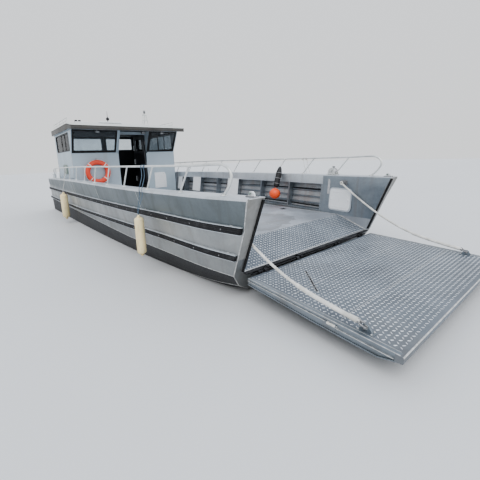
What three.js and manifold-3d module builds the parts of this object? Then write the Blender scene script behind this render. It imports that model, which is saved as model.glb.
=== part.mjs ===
// Aluminium landing workboat: open cargo deck with a bow ramp, wheelhouse aft, two transom jets.
// Working frame: +X to the bow, +Y to port, +Z up, millimetres; x = 0, z = 0 is the deck's front
// edge at the ramp hinge. The outer group moves that to the middle of the flat bottom.
import * as THREE from 'three';
import { mergeVertices } from 'three/addons/utils/BufferGeometryUtils.js';
import Module from 'manifold-3d';

const wasm = await Module();
wasm.setup();

// ---------------------------------------------------------------- driving dimensions (mm)
const U = 1400;                    // half of the clear width between the bow posts; hull tables are in U
const GAP = 0.3;                   // between pieces that touch
const DECK_Z = 0.144 * U;          // cargo deck above the hinge edge
const DECK_STEP = 1;                // cargo deck plate below the side decks
const APRON_LEN = 0.40 * U;        // sloping tread from the hinge edge up to the deck
const BOW_RAKE = 0.42;             // forward lean of the bow posts, x per z
const BOW_BOX_LEN = 0.715 * U;     // closed bulwark behind each bow post
const CABIN_FRONT_X = -5.26 * U;
const CABIN_BACK_X = -6.93 * U;
const TRANSOM_X = -7.44 * U;
const BOTTOM_Z = -0.44 * U;
const WATERLINE_Z = -0.25 * U;
const ORIGIN_X = -4586.4;          // middle of the overall length, ramp down, buckets up
const PLATE = 24;                  // bulwark plate with its stiffening

const RAMP_LEN = 1715, RAMP_T = 105, RAMP_SLOPE = 2.1;       // slope in degrees, down to the bow
const RAMP_X0 = 87, RAMP_Z0 = -42;                           // inner top edge of the ramp
const HINGE = { x: 42, z: -35, pin: 12, bore: 18, ear: 26 };
const WALL = 42;                   // cabin wall
const CABIN_HALF_W = 1.165 * U, CABIN_TOP_Z = 1.600 * U, SILL_Z = 1.141 * U;
const SCREEN_TOP_X = -4.995 * U;
const DOOR = { y0: -0.205 * U, y1: 0.440 * U, z0: DECK_Z + 70, z1: 1.535 * U, t: 40 };
const ROOF = { x0: -7.06 * U, x1: -4.70 * U, halfW: 1.210 * U, z0: 1.606 * U, z1: 1.745 * U, browX: -5.10 * U, lipX: -4.995 * U, frontZ0: 1.579 * U, frontZ1: 1.672 * U };
const JET = { y: 620, z: -352, pivot: 250, arm: 120, bucketR: 226 };   // shaft place; steering pivot behind the transom

// hull offsets, one side, in U: station x; gunwale outer edge and top; upper strake; lower strake;
// knuckle; lower chine; edge of the flat bottom; gunwale width
const HULL_ROWS = [
  // x,     capY,  capZ,  s1Y,   s1Z,   s2Y,   s2Z,   kY,    kZ,     lY,    lZ,    bY,    bZ,    capW
  [ 0.00,  1.160, 0.660, 1.108, 0.427, 1.098, 0.188, 1.092, -0.005, 1.000, -0.13, 0.880, -0.20, 0.180],
  [-0.35,  1.258, 0.657, 1.197, 0.430, 1.158, 0.191, 1.140, -0.006, 1.005, -0.19, 0.875, -0.29, 0.168],
  [-1.00,  1.335, 0.652, 1.272, 0.435, 1.210, 0.198, 1.185, -0.004, 1.030, -0.25, 0.890, -0.39, 0.170],
  [-2.00,  1.385, 0.648, 1.328, 0.425, 1.280, 0.195, 1.248,  0.002, 1.100, -0.29, 0.940, -0.44, 0.155],
  [-4.40,  1.405, 0.635, 1.352, 0.390, 1.318, 0.135, 1.300,  0.030, 1.220, -0.33, 1.020, -0.44, 0.145],
  [-7.44,  1.362, 0.575, 1.345, 0.348, 1.335, 0.113, 1.330,  0.040, 1.315, -0.34, 1.060, -0.44, 0.145],
];
const COLS = ['x', 'capY', 'capZ', 's1Y', 's1Z', 's2Y', 's2Z', 'kY', 'kZ', 'lY', 'lZ', 'bY', 'bZ', 'capW'];
const STATIONS = [0, -0.12, -0.25, -0.40, -0.55, -0.715, -1.0, -1.4, -1.8, -2.4, -3.0, -3.7, -4.4, -5.2593, -6.0, -6.7, -7.44];
const STRAKE_OUT = 0.030, STRAKE_H = { upper: 0.055, lower: 0.048 };

// open bays in the bulwarks: start and end x, floor and ceiling z, in U
const BAYS = [[-0.76, -1.40, 0.16, 0.53], [-1.42, -2.09, 0.16, 0.53], [-2.11, -2.79, 0.16, 0.53], [-2.81, -3.49, 0.16, 0.52],
  [-3.51, -4.18, 0.16, 0.52], [-4.20, -4.87, 0.16, 0.51], [-4.89, -5.20, 0.16, 0.51]];

// handrail: stanchion feet every 0.606 U from x = 0.016 U
const RAIL = { pitch: 0.606, x0: 0.016, count: 12, r: 15, post: 12, lean: 0.205, top: 0.235 };

// fenders: x, y, top z, radius, length (mm)
const FENDERS = [
  { name: 'fender_forward_starboard', x: -1.14 * U, y: -1.402 * U, top: 0.408 * U, r: 65, len: 610 },
  { name: 'fender_aft_starboard', x: -4.95 * U, y: -1.452 * U, top: 0.385 * U, r: 91, len: 760 },
  { name: 'fender_forward_port', x: -1.14 * U, y: 1.402 * U, top: 0.408 * U, r: 65, len: 610 },
  { name: 'fender_aft_port', x: -4.95 * U, y: 1.452 * U, top: 0.385 * U, r: 91, len: 760 },
];

// ---------------------------------------------------------------- solids
function clean(geometry) {
  const g = geometry.clone();
  g.deleteAttribute('normal'); g.deleteAttribute('uv');
  return mergeVertices(g, 1e-4);
}
function volumeOf(pos, idx) {
  let v = 0;
  const a = new THREE.Vector3(), b = new THREE.Vector3(), c = new THREE.Vector3();
  for (let i = 0; i < idx.length; i += 3) {
    a.fromArray(pos, 3 * idx[i]); b.fromArray(pos, 3 * idx[i + 1]); c.fromArray(pos, 3 * idx[i + 2]);
    v += a.dot(b.cross(c)) / 6;
  }
  return v;
}
function solid(geometry) {
  const g = clean(geometry);
  const pos = Float32Array.from(g.attributes.position.array), idx = Uint32Array.from(g.index.array);
  if (volumeOf(pos, idx) < 0) for (let i = 0; i < idx.length; i += 3) { const t = idx[i]; idx[i] = idx[i + 1]; idx[i + 1] = t; }
  return new wasm.Manifold(new wasm.Mesh({ numProp: 3, vertProperties: pos, triVerts: idx }));
}
function shell(manifold) {
  const m = manifold.getMesh();
  const g = new THREE.BufferGeometry();
  g.setAttribute('position', new THREE.BufferAttribute(Float32Array.from(m.vertProperties), 3));
  g.setIndex(new THREE.BufferAttribute(Uint32Array.from(m.triVerts), 1));
  g.computeVertexNormals();
  return g;
}
function mapped(geometry, fn) {
  const g = clean(geometry), p = g.attributes.position;
  for (let i = 0; i < p.count; i++) { const q = fn(p.getX(i), p.getY(i), p.getZ(i)); p.setXYZ(i, q[0], q[1], q[2]); }
  return g;
}
const box = (x0, x1, y0, y1, z0, z1) => solid(new THREE.BoxGeometry(Math.abs(x1 - x0), Math.abs(y1 - y0), Math.abs(z1 - z0))
  .translate((x0 + x1) / 2, (y0 + y1) / 2, (z0 + z1) / 2));
// outline in two axes, drawn out along the third: 'xz' along y, 'yz' along x, 'xy' along z
function prism(plane, pts, a, b) {
  const s = new THREE.Shape(pts.map(([u, v]) => new THREE.Vector2(u, v)));
  const g = new THREE.ExtrudeGeometry(s, { depth: b - a, bevelEnabled: false, steps: 1 });
  const put = { xz: (u, v, w) => [u, a + w, v], yz: (u, v, w) => [a + w, u, v], xy: (u, v, w) => [u, v, a + w] }[plane];
  return solid(mapped(g, put));
}
function rod(p, q, r, sides = 10) {
  const a = new THREE.Vector3(...p), b = new THREE.Vector3(...q), d = b.clone().sub(a);
  const g = new THREE.CylinderGeometry(r, r, d.length(), sides);
  g.applyQuaternion(new THREE.Quaternion().setFromUnitVectors(new THREE.Vector3(0, 1, 0), d.clone().normalize()));
  g.translate(...a.clone().add(b).multiplyScalar(0.5).toArray());
  return solid(g);
}
function pipe(points, r, sides = 8, steps = 24, tension = 0.5) {
  const curve = new THREE.CatmullRomCurve3(points.map(p => new THREE.Vector3(...p)), false, 'catmullrom', tension);
  const ring = new THREE.Shape();
  for (let i = 0; i < sides; i++) {
    const t = 2 * Math.PI * i / sides;
    i ? ring.lineTo(r * Math.cos(t), r * Math.sin(t)) : ring.moveTo(r * Math.cos(t), r * Math.sin(t));
  }
  return solid(new THREE.ExtrudeGeometry(ring, { steps, bevelEnabled: false, extrudePath: curve }));
}
// turned about an axis through `at` pointing along `dir`; profile is [radius, height] pairs
function turned(profile, at, dir, sides = 20) {
  const g = new THREE.LatheGeometry(profile.map(([r, h]) => new THREE.Vector2(r, h)), sides);
  g.applyQuaternion(new THREE.Quaternion().setFromUnitVectors(new THREE.Vector3(0, 1, 0), new THREE.Vector3(...dir).normalize()));
  g.translate(...at);
  return solid(g);
}
// closed body through rings of equal length, each roughly square to X
function loft(rings) {
  const n = rings[0].length, pos = rings.flat(2), idx = [];
  for (let i = 0; i < rings.length - 1; i++) for (let j = 0; j < n; j++) {
    const a = i * n + j, b = i * n + (j + 1) % n, c = a + n, d = b + n;
    idx.push(a, b, d, a, d, c);
  }
  const area = (p, q, r) => (q[1] - p[1]) * (r[2] - p[2]) - (r[1] - p[1]) * (q[2] - p[2]);
  const turn = r => Math.sign(r.reduce((s, p, j) => { const q = r[(j + 1) % n]; return s + p[1] * q[2] - q[1] * p[2]; }, 0));
  // the first cap runs against its ring's order and the last with it, which closes the sides
  for (const [ring, base, way] of [[rings[0], 0, -1], [rings[rings.length - 1], (rings.length - 1) * n, 1]])
    for (const [a, b, c] of THREE.ShapeUtils.triangulateShape(ring.map(p => new THREE.Vector2(p[1], p[2])), []))
      area(ring[a], ring[b], ring[c]) * turn(ring) * way > 0 ? idx.push(base + a, base + b, base + c) : idx.push(base + a, base + c, base + b);
  const g = new THREE.BufferGeometry();
  g.setAttribute('position', new THREE.BufferAttribute(new Float32Array(pos), 3));
  g.setIndex(idx);
  return solid(g);
}
const mirrorY = m => m.mirror([0, 1, 0]);
const unite = list => list.reduce((a, b) => a.add(b));

// ---------------------------------------------------------------- hull lines
function hullAt(x) {                       // smooth interpolation of the offset table
  const R = HULL_ROWS;
  let i = 0;
  while (i < R.length - 2 && x < R[i + 1][0]) i++;
  const x0 = R[i][0], x1 = R[i + 1][0], h = x1 - x0, t = (x - x0) / h;
  const slope = (k, c) => {
    if (k === 0) return (R[1][c] - R[0][c]) / (R[1][0] - R[0][0]);
    if (k === R.length - 1) return (R[k][c] - R[k - 1][c]) / (R[k][0] - R[k - 1][0]);
    return (R[k + 1][c] - R[k - 1][c]) / (R[k + 1][0] - R[k - 1][0]);
  };
  const out = {};
  COLS.forEach((name, c) => {
    const a = R[i][c], b = R[i + 1][c], ma = slope(i, c) * h, mb = slope(i + 1, c) * h;
    out[name] = c === 0 ? x : (2 * t ** 3 - 3 * t ** 2 + 1) * a + (t ** 3 - 2 * t ** 2 + t) * ma + (-2 * t ** 3 + 3 * t ** 2) * b + (t ** 3 - t ** 2) * mb;
  });
  out.bZ = Math.max(out.bZ, BOTTOM_Z / U);
  return out;
}
const rakeAt = x => BOW_RAKE * Math.max(0, 1 + x / 0.70);
// half breadth of the side plating at height z (in U)
function plateY(h, z) {
  const line = [[h.bZ, h.bY], [h.lZ, h.lY], [h.kZ, h.kY], [h.s2Z - 0.024, h.s2Y], [h.s1Z - 0.028, h.s1Y], [h.capZ - 0.02, h.capY]];
  for (let i = 0; i < line.length - 1; i++) if (z <= line[i + 1][0] || i === line.length - 2) {
    const t = (z - line[i][0]) / (line[i + 1][0] - line[i][0]);
    return line[i][1] + t * (line[i + 1][1] - line[i][1]);
  }
}
const at = (x, y, z) => [(x + rakeAt(x) * z) * U, y * U, z * U];
const DZ = DECK_Z / U;

// hull below the deck plane, solid
function hullBody() {
  const rings = STATIONS.map(x => {
    const h = hullAt(x), z2 = Math.min(h.s2Z - 0.024, DZ - 0.02), half = [[plateY(h, DZ), DZ], [plateY(h, z2), z2], [h.kY, h.kZ], [h.lY, h.lZ], [h.bY, h.bZ]];
    return [...half.map(([y, z]) => at(x, y, z)), ...half.slice().reverse().map(([y, z]) => at(x, -y, z))];
  });
  let m = loft(rings);
  // sloping tread plate from the hinge edge up to the deck
  const run = APRON_LEN * 1.6;
  m = m.subtract(prism('xz', [[-APRON_LEN, DECK_Z], [-APRON_LEN, DECK_Z + 50], [run, DECK_Z + 50], [run, -DECK_Z * run / APRON_LEN], [0, 0]], -U, U));
  // deck plate between the bulwarks lies 1 mm below the side decks
  m = m.subtract(box(-5.22 * U, -APRON_LEN + 60, -U, U, DECK_Z - DECK_STEP, DECK_Z + 10));
  return m;
}
// inner and outer outline of one bulwark at a station; `inner` gives [bottom y, top y] in U
function bulwarkRing(x, inner) {
  const h = hullAt(x), g = GAP / U;
  const [yb, yt] = inner(h, x), z2 = Math.max(h.s2Z - 0.024, DZ + 0.02);
  const pts = [[yb, DZ + g], [plateY(h, DZ + g), DZ + g], [plateY(h, z2), z2], [h.s1Y, h.s1Z - 0.028], [h.capY, h.capZ - 0.020], [h.capY - 0.006, h.capZ - 0.004],
    [h.capY - 0.016, h.capZ], [yt, h.capZ], [yt - 0.006, h.capZ - 0.13]];
  return pts.map(([y, z]) => at(x, y, z));
}
const wellSide = (h, x) => [h.capY - h.capW - 0.065, h.capY - h.capW];
const bowSide = (h, x) => [1.0 + 0.19 * Math.max(0, -x - 0.40), 0.990 - 0.175 * x];
const cabinSide = () => [1.178, 1.184];

function bowBox() {
  let m = loft(STATIONS.filter(x => x >= -0.715).map(x => bulwarkRing(x, bowSide)));
  return m;
}
function bulwark() {
  let m = loft(STATIONS.filter(x => x <= -0.715 && x >= -5.26).map(x => bulwarkRing(x, wellSide)));
  m = m.translate([-GAP, 0, 0]);
  for (const [x1, x0, z0, z1] of BAYS) {
    const n = 5, rings = [];
    for (let i = 0; i <= n; i++) {
      const x = x1 + (x0 - x1) * i / n, h = hullAt(x), t = PLATE / U;
      const yo = z => plateY(h, z) - t;
      const zs = [z0, h.s2Z - 0.024 > z0 + 0.01 ? h.s2Z - 0.024 : z0 + 0.01, h.s1Z - 0.028, z1].sort((a, b) => a - b);
      rings.push([[0.93, z0], ...zs.map(z => [yo(z), z]), [0.93, z1]].map(([y, z]) => [x * U, y * U, z * U]));
    }
    m = m.subtract(loft(rings));
  }
  return m;
}
function sideDeck() {
  let m = loft(STATIONS.filter(x => x <= -5.25).map(x => bulwarkRing(x, cabinSide)));
  m = m.translate([-2 * GAP, 0, 0]);
  return m;
}
function strake(which) {
  const H = STRAKE_H[which], off = 2 / U;
  const rings = STATIONS.map((x, i) => {
    const h = hullAt(x), zt = which === 'upper' ? h.s1Z : h.s2Z, zb = zt - H, zm = (zt + zb) / 2;
    const o = STRAKE_OUT, taper = i === 0 ? 0.6 : 1;
    const y = z => Math.max(plateY(h, z), plateY(h, zm)) + off;
    return [[y(zt), zt], [plateY(h, zm) + o * 0.75 * taper, zt], [plateY(h, zm) + o * taper, zt - 0.012], [plateY(h, zm) + o * taper, zb + 0.012],
      [plateY(h, zm) + o * 0.75 * taper, zb], [y(zb), zb]].map(([yy, z]) => at(x, yy, z));
  });
  return loft(rings);
}

// ---------------------------------------------------------------- ramp, in its own frame: s along, t up
const rampPlace = m => m.rotate([0, RAMP_SLOPE, 0]).translate([RAMP_X0, 0, RAMP_Z0]);
function rampBody() {
  const w0 = 1.000 * U, w1 = 1.025 * U, L = RAMP_LEN, T = RAMP_T;
  const outline = [[0, -w0], [L, -w1], [L, w1], [0, w0]];
  let m = prism('xy', outline, -12, 0);
  const parts = [
    prism('xy', [[0, -w0], [L, -w1], [L, -w1 + 70], [0, -w0 + 70]], -T, 0),
    prism('xy', [[0, w0], [L, w1], [L, w1 - 70], [0, w0 - 70]], -T, 0),
    box(0, 60, -w0, w0, -T * 0.75, 0),
    prism('xz', [[L - 64, -58], [L - 12, -58], [L, -50], [L, -12], [L - 8, 0], [L - 64, 0]], -w1, w1),
    ...[-0.5, 0, 0.5].map(k => box(30, L - 60, k * w0 - 20, k * w0 + 20, -T * 0.72, 0)),
    ...[0.34, 0.67].map(k => box(k * L - 18, k * L + 18, -w0 + 40, w0 - 40, -T * 0.72, 0)),
  ];
  m = unite([m, ...parts]);
  // the side beams are shallower at the hinge and run up to the tip
  m = m.subtract(prism('xz', [[-1, -T - 1], [950, -T - 1], [950, -T], [-1, -80]], -w1 - 1, w1 + 1))
    .subtract(prism('xz', [[L - 190, -T], [L - 190, -T - 1], [L + 1, -T - 1], [L + 1, -50]], -w1 - 1, w1 + 1));
  // lifting lugs near the tip, on the side beams
  for (const s of [-1, 1]) {
    const y = s * 0.955 * U;
    m = m.add(prism('xz', [[0.770 * L, -8], [0.840 * L, -8], [0.825 * L, 66], [0.785 * L, 66]], y - 9, y + 9)
      .subtract(rod([0.805 * L, y - 30, 42], [0.805 * L, y + 30, 42], 13, 12)));
  }
  m = rampPlace(m);
  // ears around the hinge pin
  for (const y of [-1080, -480, 480, 1080]) {
    let e = rod([HINGE.x, y - 25, HINGE.z], [HINGE.x, y + 25, HINGE.z], HINGE.ear, 16)
      .add(box(HINGE.x, RAMP_X0 + 12, y - 25, y + 25, HINGE.z - HINGE.ear, HINGE.z - 9))
      .subtract(rod([HINGE.x, y - 60, HINGE.z], [HINGE.x, y + 60, HINGE.z], HINGE.bore, 16));
    m = m.add(e);
  }
  return m;
}
function hingePin() {
  let m = rod([HINGE.x, -1300, HINGE.z], [HINGE.x, 1300, HINGE.z], HINGE.pin, 12);
  const top = HINGE.z + HINGE.ear, low = HINGE.z - HINGE.ear;
  for (const y of [-1180, -400, 400, 1180]) {
    m = m.add(prism('xz', [[BOW_RAKE * top + 1, top], [HINGE.x + 8, top], [HINGE.x + 26, HINGE.z + 12], [HINGE.x + 26, HINGE.z - 12], [HINGE.x + 8, low], [BOW_RAKE * low + 1, low]], y - 25, y + 25));
  }
  return m;
}
function hingeFlap() {                    // rubber strip that covers the hinge, fingers between the ears
  let m = box(0.5, 55, -1385, 1385, -7, -0.5);
  for (const y of [-1080, -480, 480, 1080]) m = m.subtract(box(14, 80, y - 34, y + 34, -20, 20));
  return m;
}
const bowSeal = s => prism('xz', [[BOW_RAKE * 0.018 * U + 1, 0.018 * U], [BOW_RAKE * 0.640 * U + 1, 0.640 * U], [BOW_RAKE * 0.640 * U + 34, 0.640 * U], [BOW_RAKE * 0.018 * U + 34, 0.018 * U]],
  s > 0 ? 1.003 * U : -1.017 * U, s > 0 ? 1.017 * U : -1.003 * U);

// rope from the eye on the inner bow plate to the ramp's lug: x, z in U
const ROPE_LINE = [[-0.345, 0.566], [-0.203, 0.459], [-0.061, 0.362], [0.080, 0.272], [0.222, 0.194], [0.364, 0.126], [0.506, 0.073], [0.647, 0.036], [0.789, 0.011], [0.900, -0.006], [1.002, -0.018]];
function rampRope(s) {
  const pts = ROPE_LINE.map(([x, z]) => [x * U, s * (0.985 - 0.03 * (x + 0.345) / 1.418) * U, z * U]);
  return pipe(pts, 15, 8, 20);
}

// ---------------------------------------------------------------- rails and deck gear
const railFoot = i => {                     // foot on the gunwale top, in U
  const x = RAIL.x0 - RAIL.pitch * i, h = hullAt(Math.max(-7.4, Math.min(0, x)));
  return [x, h.capY - h.capW * 0.52, h.capZ];
};
function rail() {
  const feet = []; for (let i = 0; i < RAIL.count; i++) feet.push(railFoot(i));
  const tops = feet.map(([x, y, z]) => [x + RAIL.lean, y + 0.012, z + RAIL.top]);
  const path = [[-0.033, 1.135, feet[0][2]], [0.020, 1.139, feet[0][2] + 0.043], [0.066, 1.143, feet[0][2] + 0.097], [0.087, 1.145, feet[0][2] + 0.148], [0.070, 1.146, feet[0][2] + 0.194], [0.020, 1.150, feet[0][2] + 0.226], [-0.060, 1.158, feet[0][2] + 0.237],
    ...tops.slice(1), [feet[11][0] - 0.10, feet[11][1] + 0.01, feet[11][2] + 0.20], [feet[11][0] - 0.16, feet[11][1], feet[11][2] + 0.09], [feet[11][0] - 0.17, feet[11][1], feet[11][2] + 0.002]];
  const up = (p, d) => [p[0] * U, p[1] * U, p[2] * U + d];
  let m = pipe(path.map(p => up(p, 1)), RAIL.r, 8, 40);
  for (let i = 1; i < RAIL.count; i++) {
    m = m.add(rod(up(feet[i], 1), up(tops[i], -2), RAIL.post, 6));
    m = m.add(rod(up(feet[i], 1), up(feet[i], 9), 40, 8));
  }
  m = m.add(rod(up(path[0], 0.5), up(path[0], 9), 40, 8));
  m = m.add(rod(up(path[path.length - 1], -1), up(path[path.length - 1], 9), 40, 8));
  for (const under of [bowBox(), bulwark(), sideDeck()]) m = m.subtract(under.translate([0, 0, GAP + 0.1]));
  return m;
}

// ---------------------------------------------------------------- wheelhouse
const Z0 = DECK_Z + GAP;
function rakeX(z) { return z <= SILL_Z ? CABIN_FRONT_X : CABIN_FRONT_X + (SCREEN_TOP_X - CABIN_FRONT_X) * (z - SILL_Z) / (CABIN_TOP_Z - SILL_Z); }
const WIN = {
  frontZ: [1.160 * U, 1.578 * U], stbd: [-1.122 * U, -0.287 * U], port: [0.502 * U, 1.122 * U],
  side: { x0: -6.78 * U, x1: -5.32 * U, z: [1.20 * U, 1.555 * U] },
  back: [[-0.80 * U, -0.09 * U], [0.02 * U, 0.72 * U]], backZ: [1.24 * U, 1.555 * U],
};
function slantBox(y0, y1, z0, z1, a, b) {       // follows the raked screen between depths a (outside) and b (inside)
  return prism('xz', [[rakeX(z0) + a, z0], [rakeX(z1) + a, z1], [rakeX(z1) + b, z1], [rakeX(z0) + b, z0]], y0, y1);
}
function cabinFront() {
  const F = CABIN_FRONT_X, W = WALL, hw = CABIN_HALF_W;
  let m = prism('xz', [[F, Z0], [F, SILL_Z], [SCREEN_TOP_X, CABIN_TOP_Z], [SCREEN_TOP_X - W, CABIN_TOP_Z], [F - W, SILL_Z], [F - W, Z0]], -hw, hw);
  m = m.subtract(slantBox(...WIN.stbd, ...WIN.frontZ, 60, -120));
  m = m.subtract(slantBox(...WIN.port, ...WIN.frontZ, 60, -120));
  // recess round the door: upright header and two cheeks
  const c = 26;
  m = m.subtract(box(F - 200, F + 500, DOOR.y0 - 4, DOOR.y1 + 4, Z0 - 20, CABIN_TOP_Z + 20));
  m = m.add(box(F - W, F, DOOR.y0 - 10, DOOR.y1 + 10, DOOR.z1, CABIN_TOP_Z));
  m = m.add(box(F - W, F + 12, DOOR.y0 - 10, DOOR.y1 + 10, Z0, DOOR.z0 - 6));
  for (const [a, b] of [[DOOR.y0 - c - 4, DOOR.y0 - 4], [DOOR.y1 + 4, DOOR.y1 + c + 4]])
    m = m.add(prism('xz', [[F - W, SILL_Z - 40], [F, SILL_Z - 40], [SCREEN_TOP_X, CABIN_TOP_Z], [F - W, CABIN_TOP_Z]], a, b));
  return m;
}
function cabinSideWall() {
  const t = 34, y1 = CABIN_HALF_W, y0 = y1 - t, F = CABIN_FRONT_X - WALL - GAP, B = CABIN_BACK_X;
  let m = prism('xz', [[B, Z0], [F, Z0], [F, SILL_Z], [SCREEN_TOP_X - WALL - GAP, CABIN_TOP_Z], [B, CABIN_TOP_Z]], y0, y1);
  return m.subtract(box(WIN.side.x0, WIN.side.x1, y0 - 50, y1 + 50, ...WIN.side.z));
}
function cabinBack() {
  const hw = CABIN_HALF_W - 34 - GAP;
  let m = box(CABIN_BACK_X, CABIN_BACK_X + WALL, -hw, hw, Z0, CABIN_TOP_Z);
  for (const [a, b] of WIN.back) m = m.subtract(box(CABIN_BACK_X - 50, CABIN_BACK_X + 100, a, b, ...WIN.backZ));
  return m;
}
// the brow ahead of the screen slopes down
const roofUnder = x => ROOF.z0 + (ROOF.frontZ0 - ROOF.z0) * Math.max(0, (x - ROOF.lipX) / (ROOF.x1 - ROOF.lipX));
const roofTop = x => ROOF.z1 + (ROOF.frontZ1 - ROOF.z1) * Math.max(0, (x - ROOF.browX) / (ROOF.x1 - ROOF.browX));
function cabinRoof() {
  const { x0, x1, halfW: w, browX, lipX } = ROOF, c = 40;
  const ring = (x, d) => {
    const z0 = roofUnder(x), z1 = roofTop(x);
    return [[x, -w + d, z0], [x, w - d, z0], [x, w - d, z1 - c], [x, w - 0.09 * U, z1 - 6], [x, 0, z1 + 14], [x, -w + 0.09 * U, z1 - 6], [x, -w + d, z1 - c]];
  };
  return loft([ring(x1, 34), ring(x1 - 60, 12), ring(lipX, 0), ring(browX, 0), ring(x0 + 40, 0), ring(x0, 20)]);
}
function door() {
  // shut outline first, then swung inwards about the port edge to its open place
  const { y0, y1, z0, z1, t } = DOOR, F = CABIN_FRONT_X, m = 7;
  let d = box(F - t, F, y0 + m, y1 - m, z0 + 2, z1 - 8);
  d = d.subtract(box(F - t - 20, F + 20, y0 + 150, y1 - 150, SILL_Z + 30, z1 - 130));
  // two dogs and a grab handle by the free edge
  for (const z of [z0 + 420, z0 + 1010, z0 + 1480]) d = d.add(box(F - 1, F + 42, y0 + 52, y0 + 74, z - 85, z + 85).subtract(box(F + 0.5, F + 20, y0 + 40, y0 + 90, z - 62, z + 62)));
  return d;
}
const HINGE_DOOR = { x: CABIN_FRONT_X - DOOR.t / 2, y: DOOR.y1 - 7 };
const doorOpen = m => m.translate([-HINGE_DOOR.x, -HINGE_DOOR.y, 0]).rotate([0, 0, -90]).translate([HINGE_DOOR.x - 22, HINGE_DOOR.y - 24, 0]);

// ---------------------------------------------------------------- scene graph
const mat = (color, roughness, metalness) => new THREE.MeshStandardMaterial({ color, roughness, metalness });
const M = {
  hull: mat(0x8f8f8c, 0.5, 0.85), bottom: mat(0x2a2a2c, 0.7, 0.1), rubber: mat(0x151517, 0.8, 0.0), ramp: mat(0xa9adad, 0.45, 0.85),
  paint: mat(0xb9c2c4, 0.5, 0.1), roof: mat(0xc9ccc8, 0.5, 0.1), glass: mat(0x20262a, 0.1, 0.0), tube: mat(0xa7a9a8, 0.35, 0.9),
  cream: mat(0xe6dfb8, 0.6, 0.0), orange: mat(0xd8482c, 0.6, 0.0), rope: mat(0xe8e6de, 0.8, 0.0), dark: mat(0x18191b, 0.6, 0.1),
  seat: mat(0x23262b, 0.7, 0.0), steel: mat(0x8a8d90, 0.35, 0.9),
};
const boat = new THREE.Group();
boat.name = 'boat';
function put(name, m, material) {
  const mesh = new THREE.Mesh(m.isBufferGeometry ? m : shell(m), material);
  mesh.name = name;
  boat.add(mesh);
  return mesh;
}

put('hull', hullBody(), M.hull);
for (const [side, f] of [['starboard', mirrorY], ['port', m => m]]) {
  put(`bow_box_${side}`, f(bowBox()), M.hull);
  put(`bulwark_${side}`, f(bulwark()), M.hull);
  put(`side_deck_${side}`, f(sideDeck()), M.hull);
  put(`strake_upper_${side}`, f(strake('upper')), M.rubber);
  put(`strake_lower_${side}`, f(strake('lower')), M.rubber);
  put(`handrail_${side}`, f(rail()), M.tube);
  put(`bow_seal_${side}`, f(bowSeal(1)), M.rubber);
  put(`ramp_rope_${side}`, f(rampRope(1)), M.rope);
}
// raised deck behind the cabin
put('aft_deck', box(TRANSOM_X, CABIN_BACK_X - GAP, -1.1776 * U, 1.1776 * U, DECK_Z + GAP, 0.50 * U), M.hull);
put('ramp', rampBody(), M.ramp);
put('ramp_hinge_pin', hingePin(), M.steel);
put('ramp_hinge_flap', hingeFlap(), M.rubber);

put('cabin_front', cabinFront(), M.paint);
put('cabin_side_port', cabinSideWall(), M.paint);
put('cabin_side_starboard', mirrorY(cabinSideWall()), M.paint);
put('cabin_back', cabinBack(), M.paint);
put('cabin_roof', cabinRoof(), M.roof);
put('cabin_door', doorOpen(door()), M.dark);

// glass
const P = 8, E = 1.5;
for (const [n, [y0, y1]] of [['starboard', WIN.stbd], ['port', WIN.port]])
  put(`glass_front_${n}`, slantBox(y0 + E, y1 - E, WIN.frontZ[0] + E, WIN.frontZ[1] - E, -14, -14 - P), M.glass);
for (const [n, s] of [['starboard', -1], ['port', 1]]) {
  const a = s * (CABIN_HALF_W - 12), b = s * (CABIN_HALF_W - 12 - P);
  put(`glass_side_${n}`, box(WIN.side.x0 + E, WIN.side.x1 - E, Math.min(a, b), Math.max(a, b), WIN.side.z[0] + E, WIN.side.z[1] - E), M.glass);
}
for (const [n, [a, b]] of [['starboard', WIN.back[0]], ['port', WIN.back[1]]])
  put(`glass_back_${n}`, box(CABIN_BACK_X + 14, CABIN_BACK_X + 14 + P, a + E, b - E, WIN.backZ[0] + E, WIN.backZ[1] - E), M.glass);
put('glass_door', doorOpen(box(CABIN_FRONT_X - DOOR.t / 2 - 4, CABIN_FRONT_X - DOOR.t / 2 + 4, DOOR.y0 + 150 + E, DOOR.y1 - 150 - E, SILL_Z + 30 + E, DOOR.z1 - 130 - E)), M.glass);

// inside the wheelhouse
const CF = CABIN_FRONT_X - WALL;
put('helm_console', prism('xz', [[CF - 20, Z0], [CF - 20, 1.10 * U], [CF - 170, 1.13 * U], [CF - 420, 0.98 * U], [CF - 440, 0.86 * U], [CF - 330, 0.80 * U], [CF - 330, Z0]], -1.10 * U, -0.36 * U), M.dark);
const seat = (x, y) => unite([rod([x, y, Z0], [x, y, Z0 + 560], 45, 12), rod([x, y, Z0], [x, y, Z0 + 18], 190, 16), box(x - 230, x + 230, y - 240, y + 240, Z0 + 550, Z0 + 660),
  prism('xz', [[x - 230, Z0 + 640], [x - 130, Z0 + 640], [x - 190, Z0 + 1240], [x - 280, Z0 + 1240]], y - 230, y + 230)]);
put('helm_seat', seat(-6.28 * U, -0.72 * U), M.seat);
put('crew_seat', seat(-6.50 * U, 0.78 * U), M.seat);
const WHEEL = { x: CF - 470, y: -0.72 * U, z: 1.00 * U, r: 190, tilt: 35 };
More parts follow.
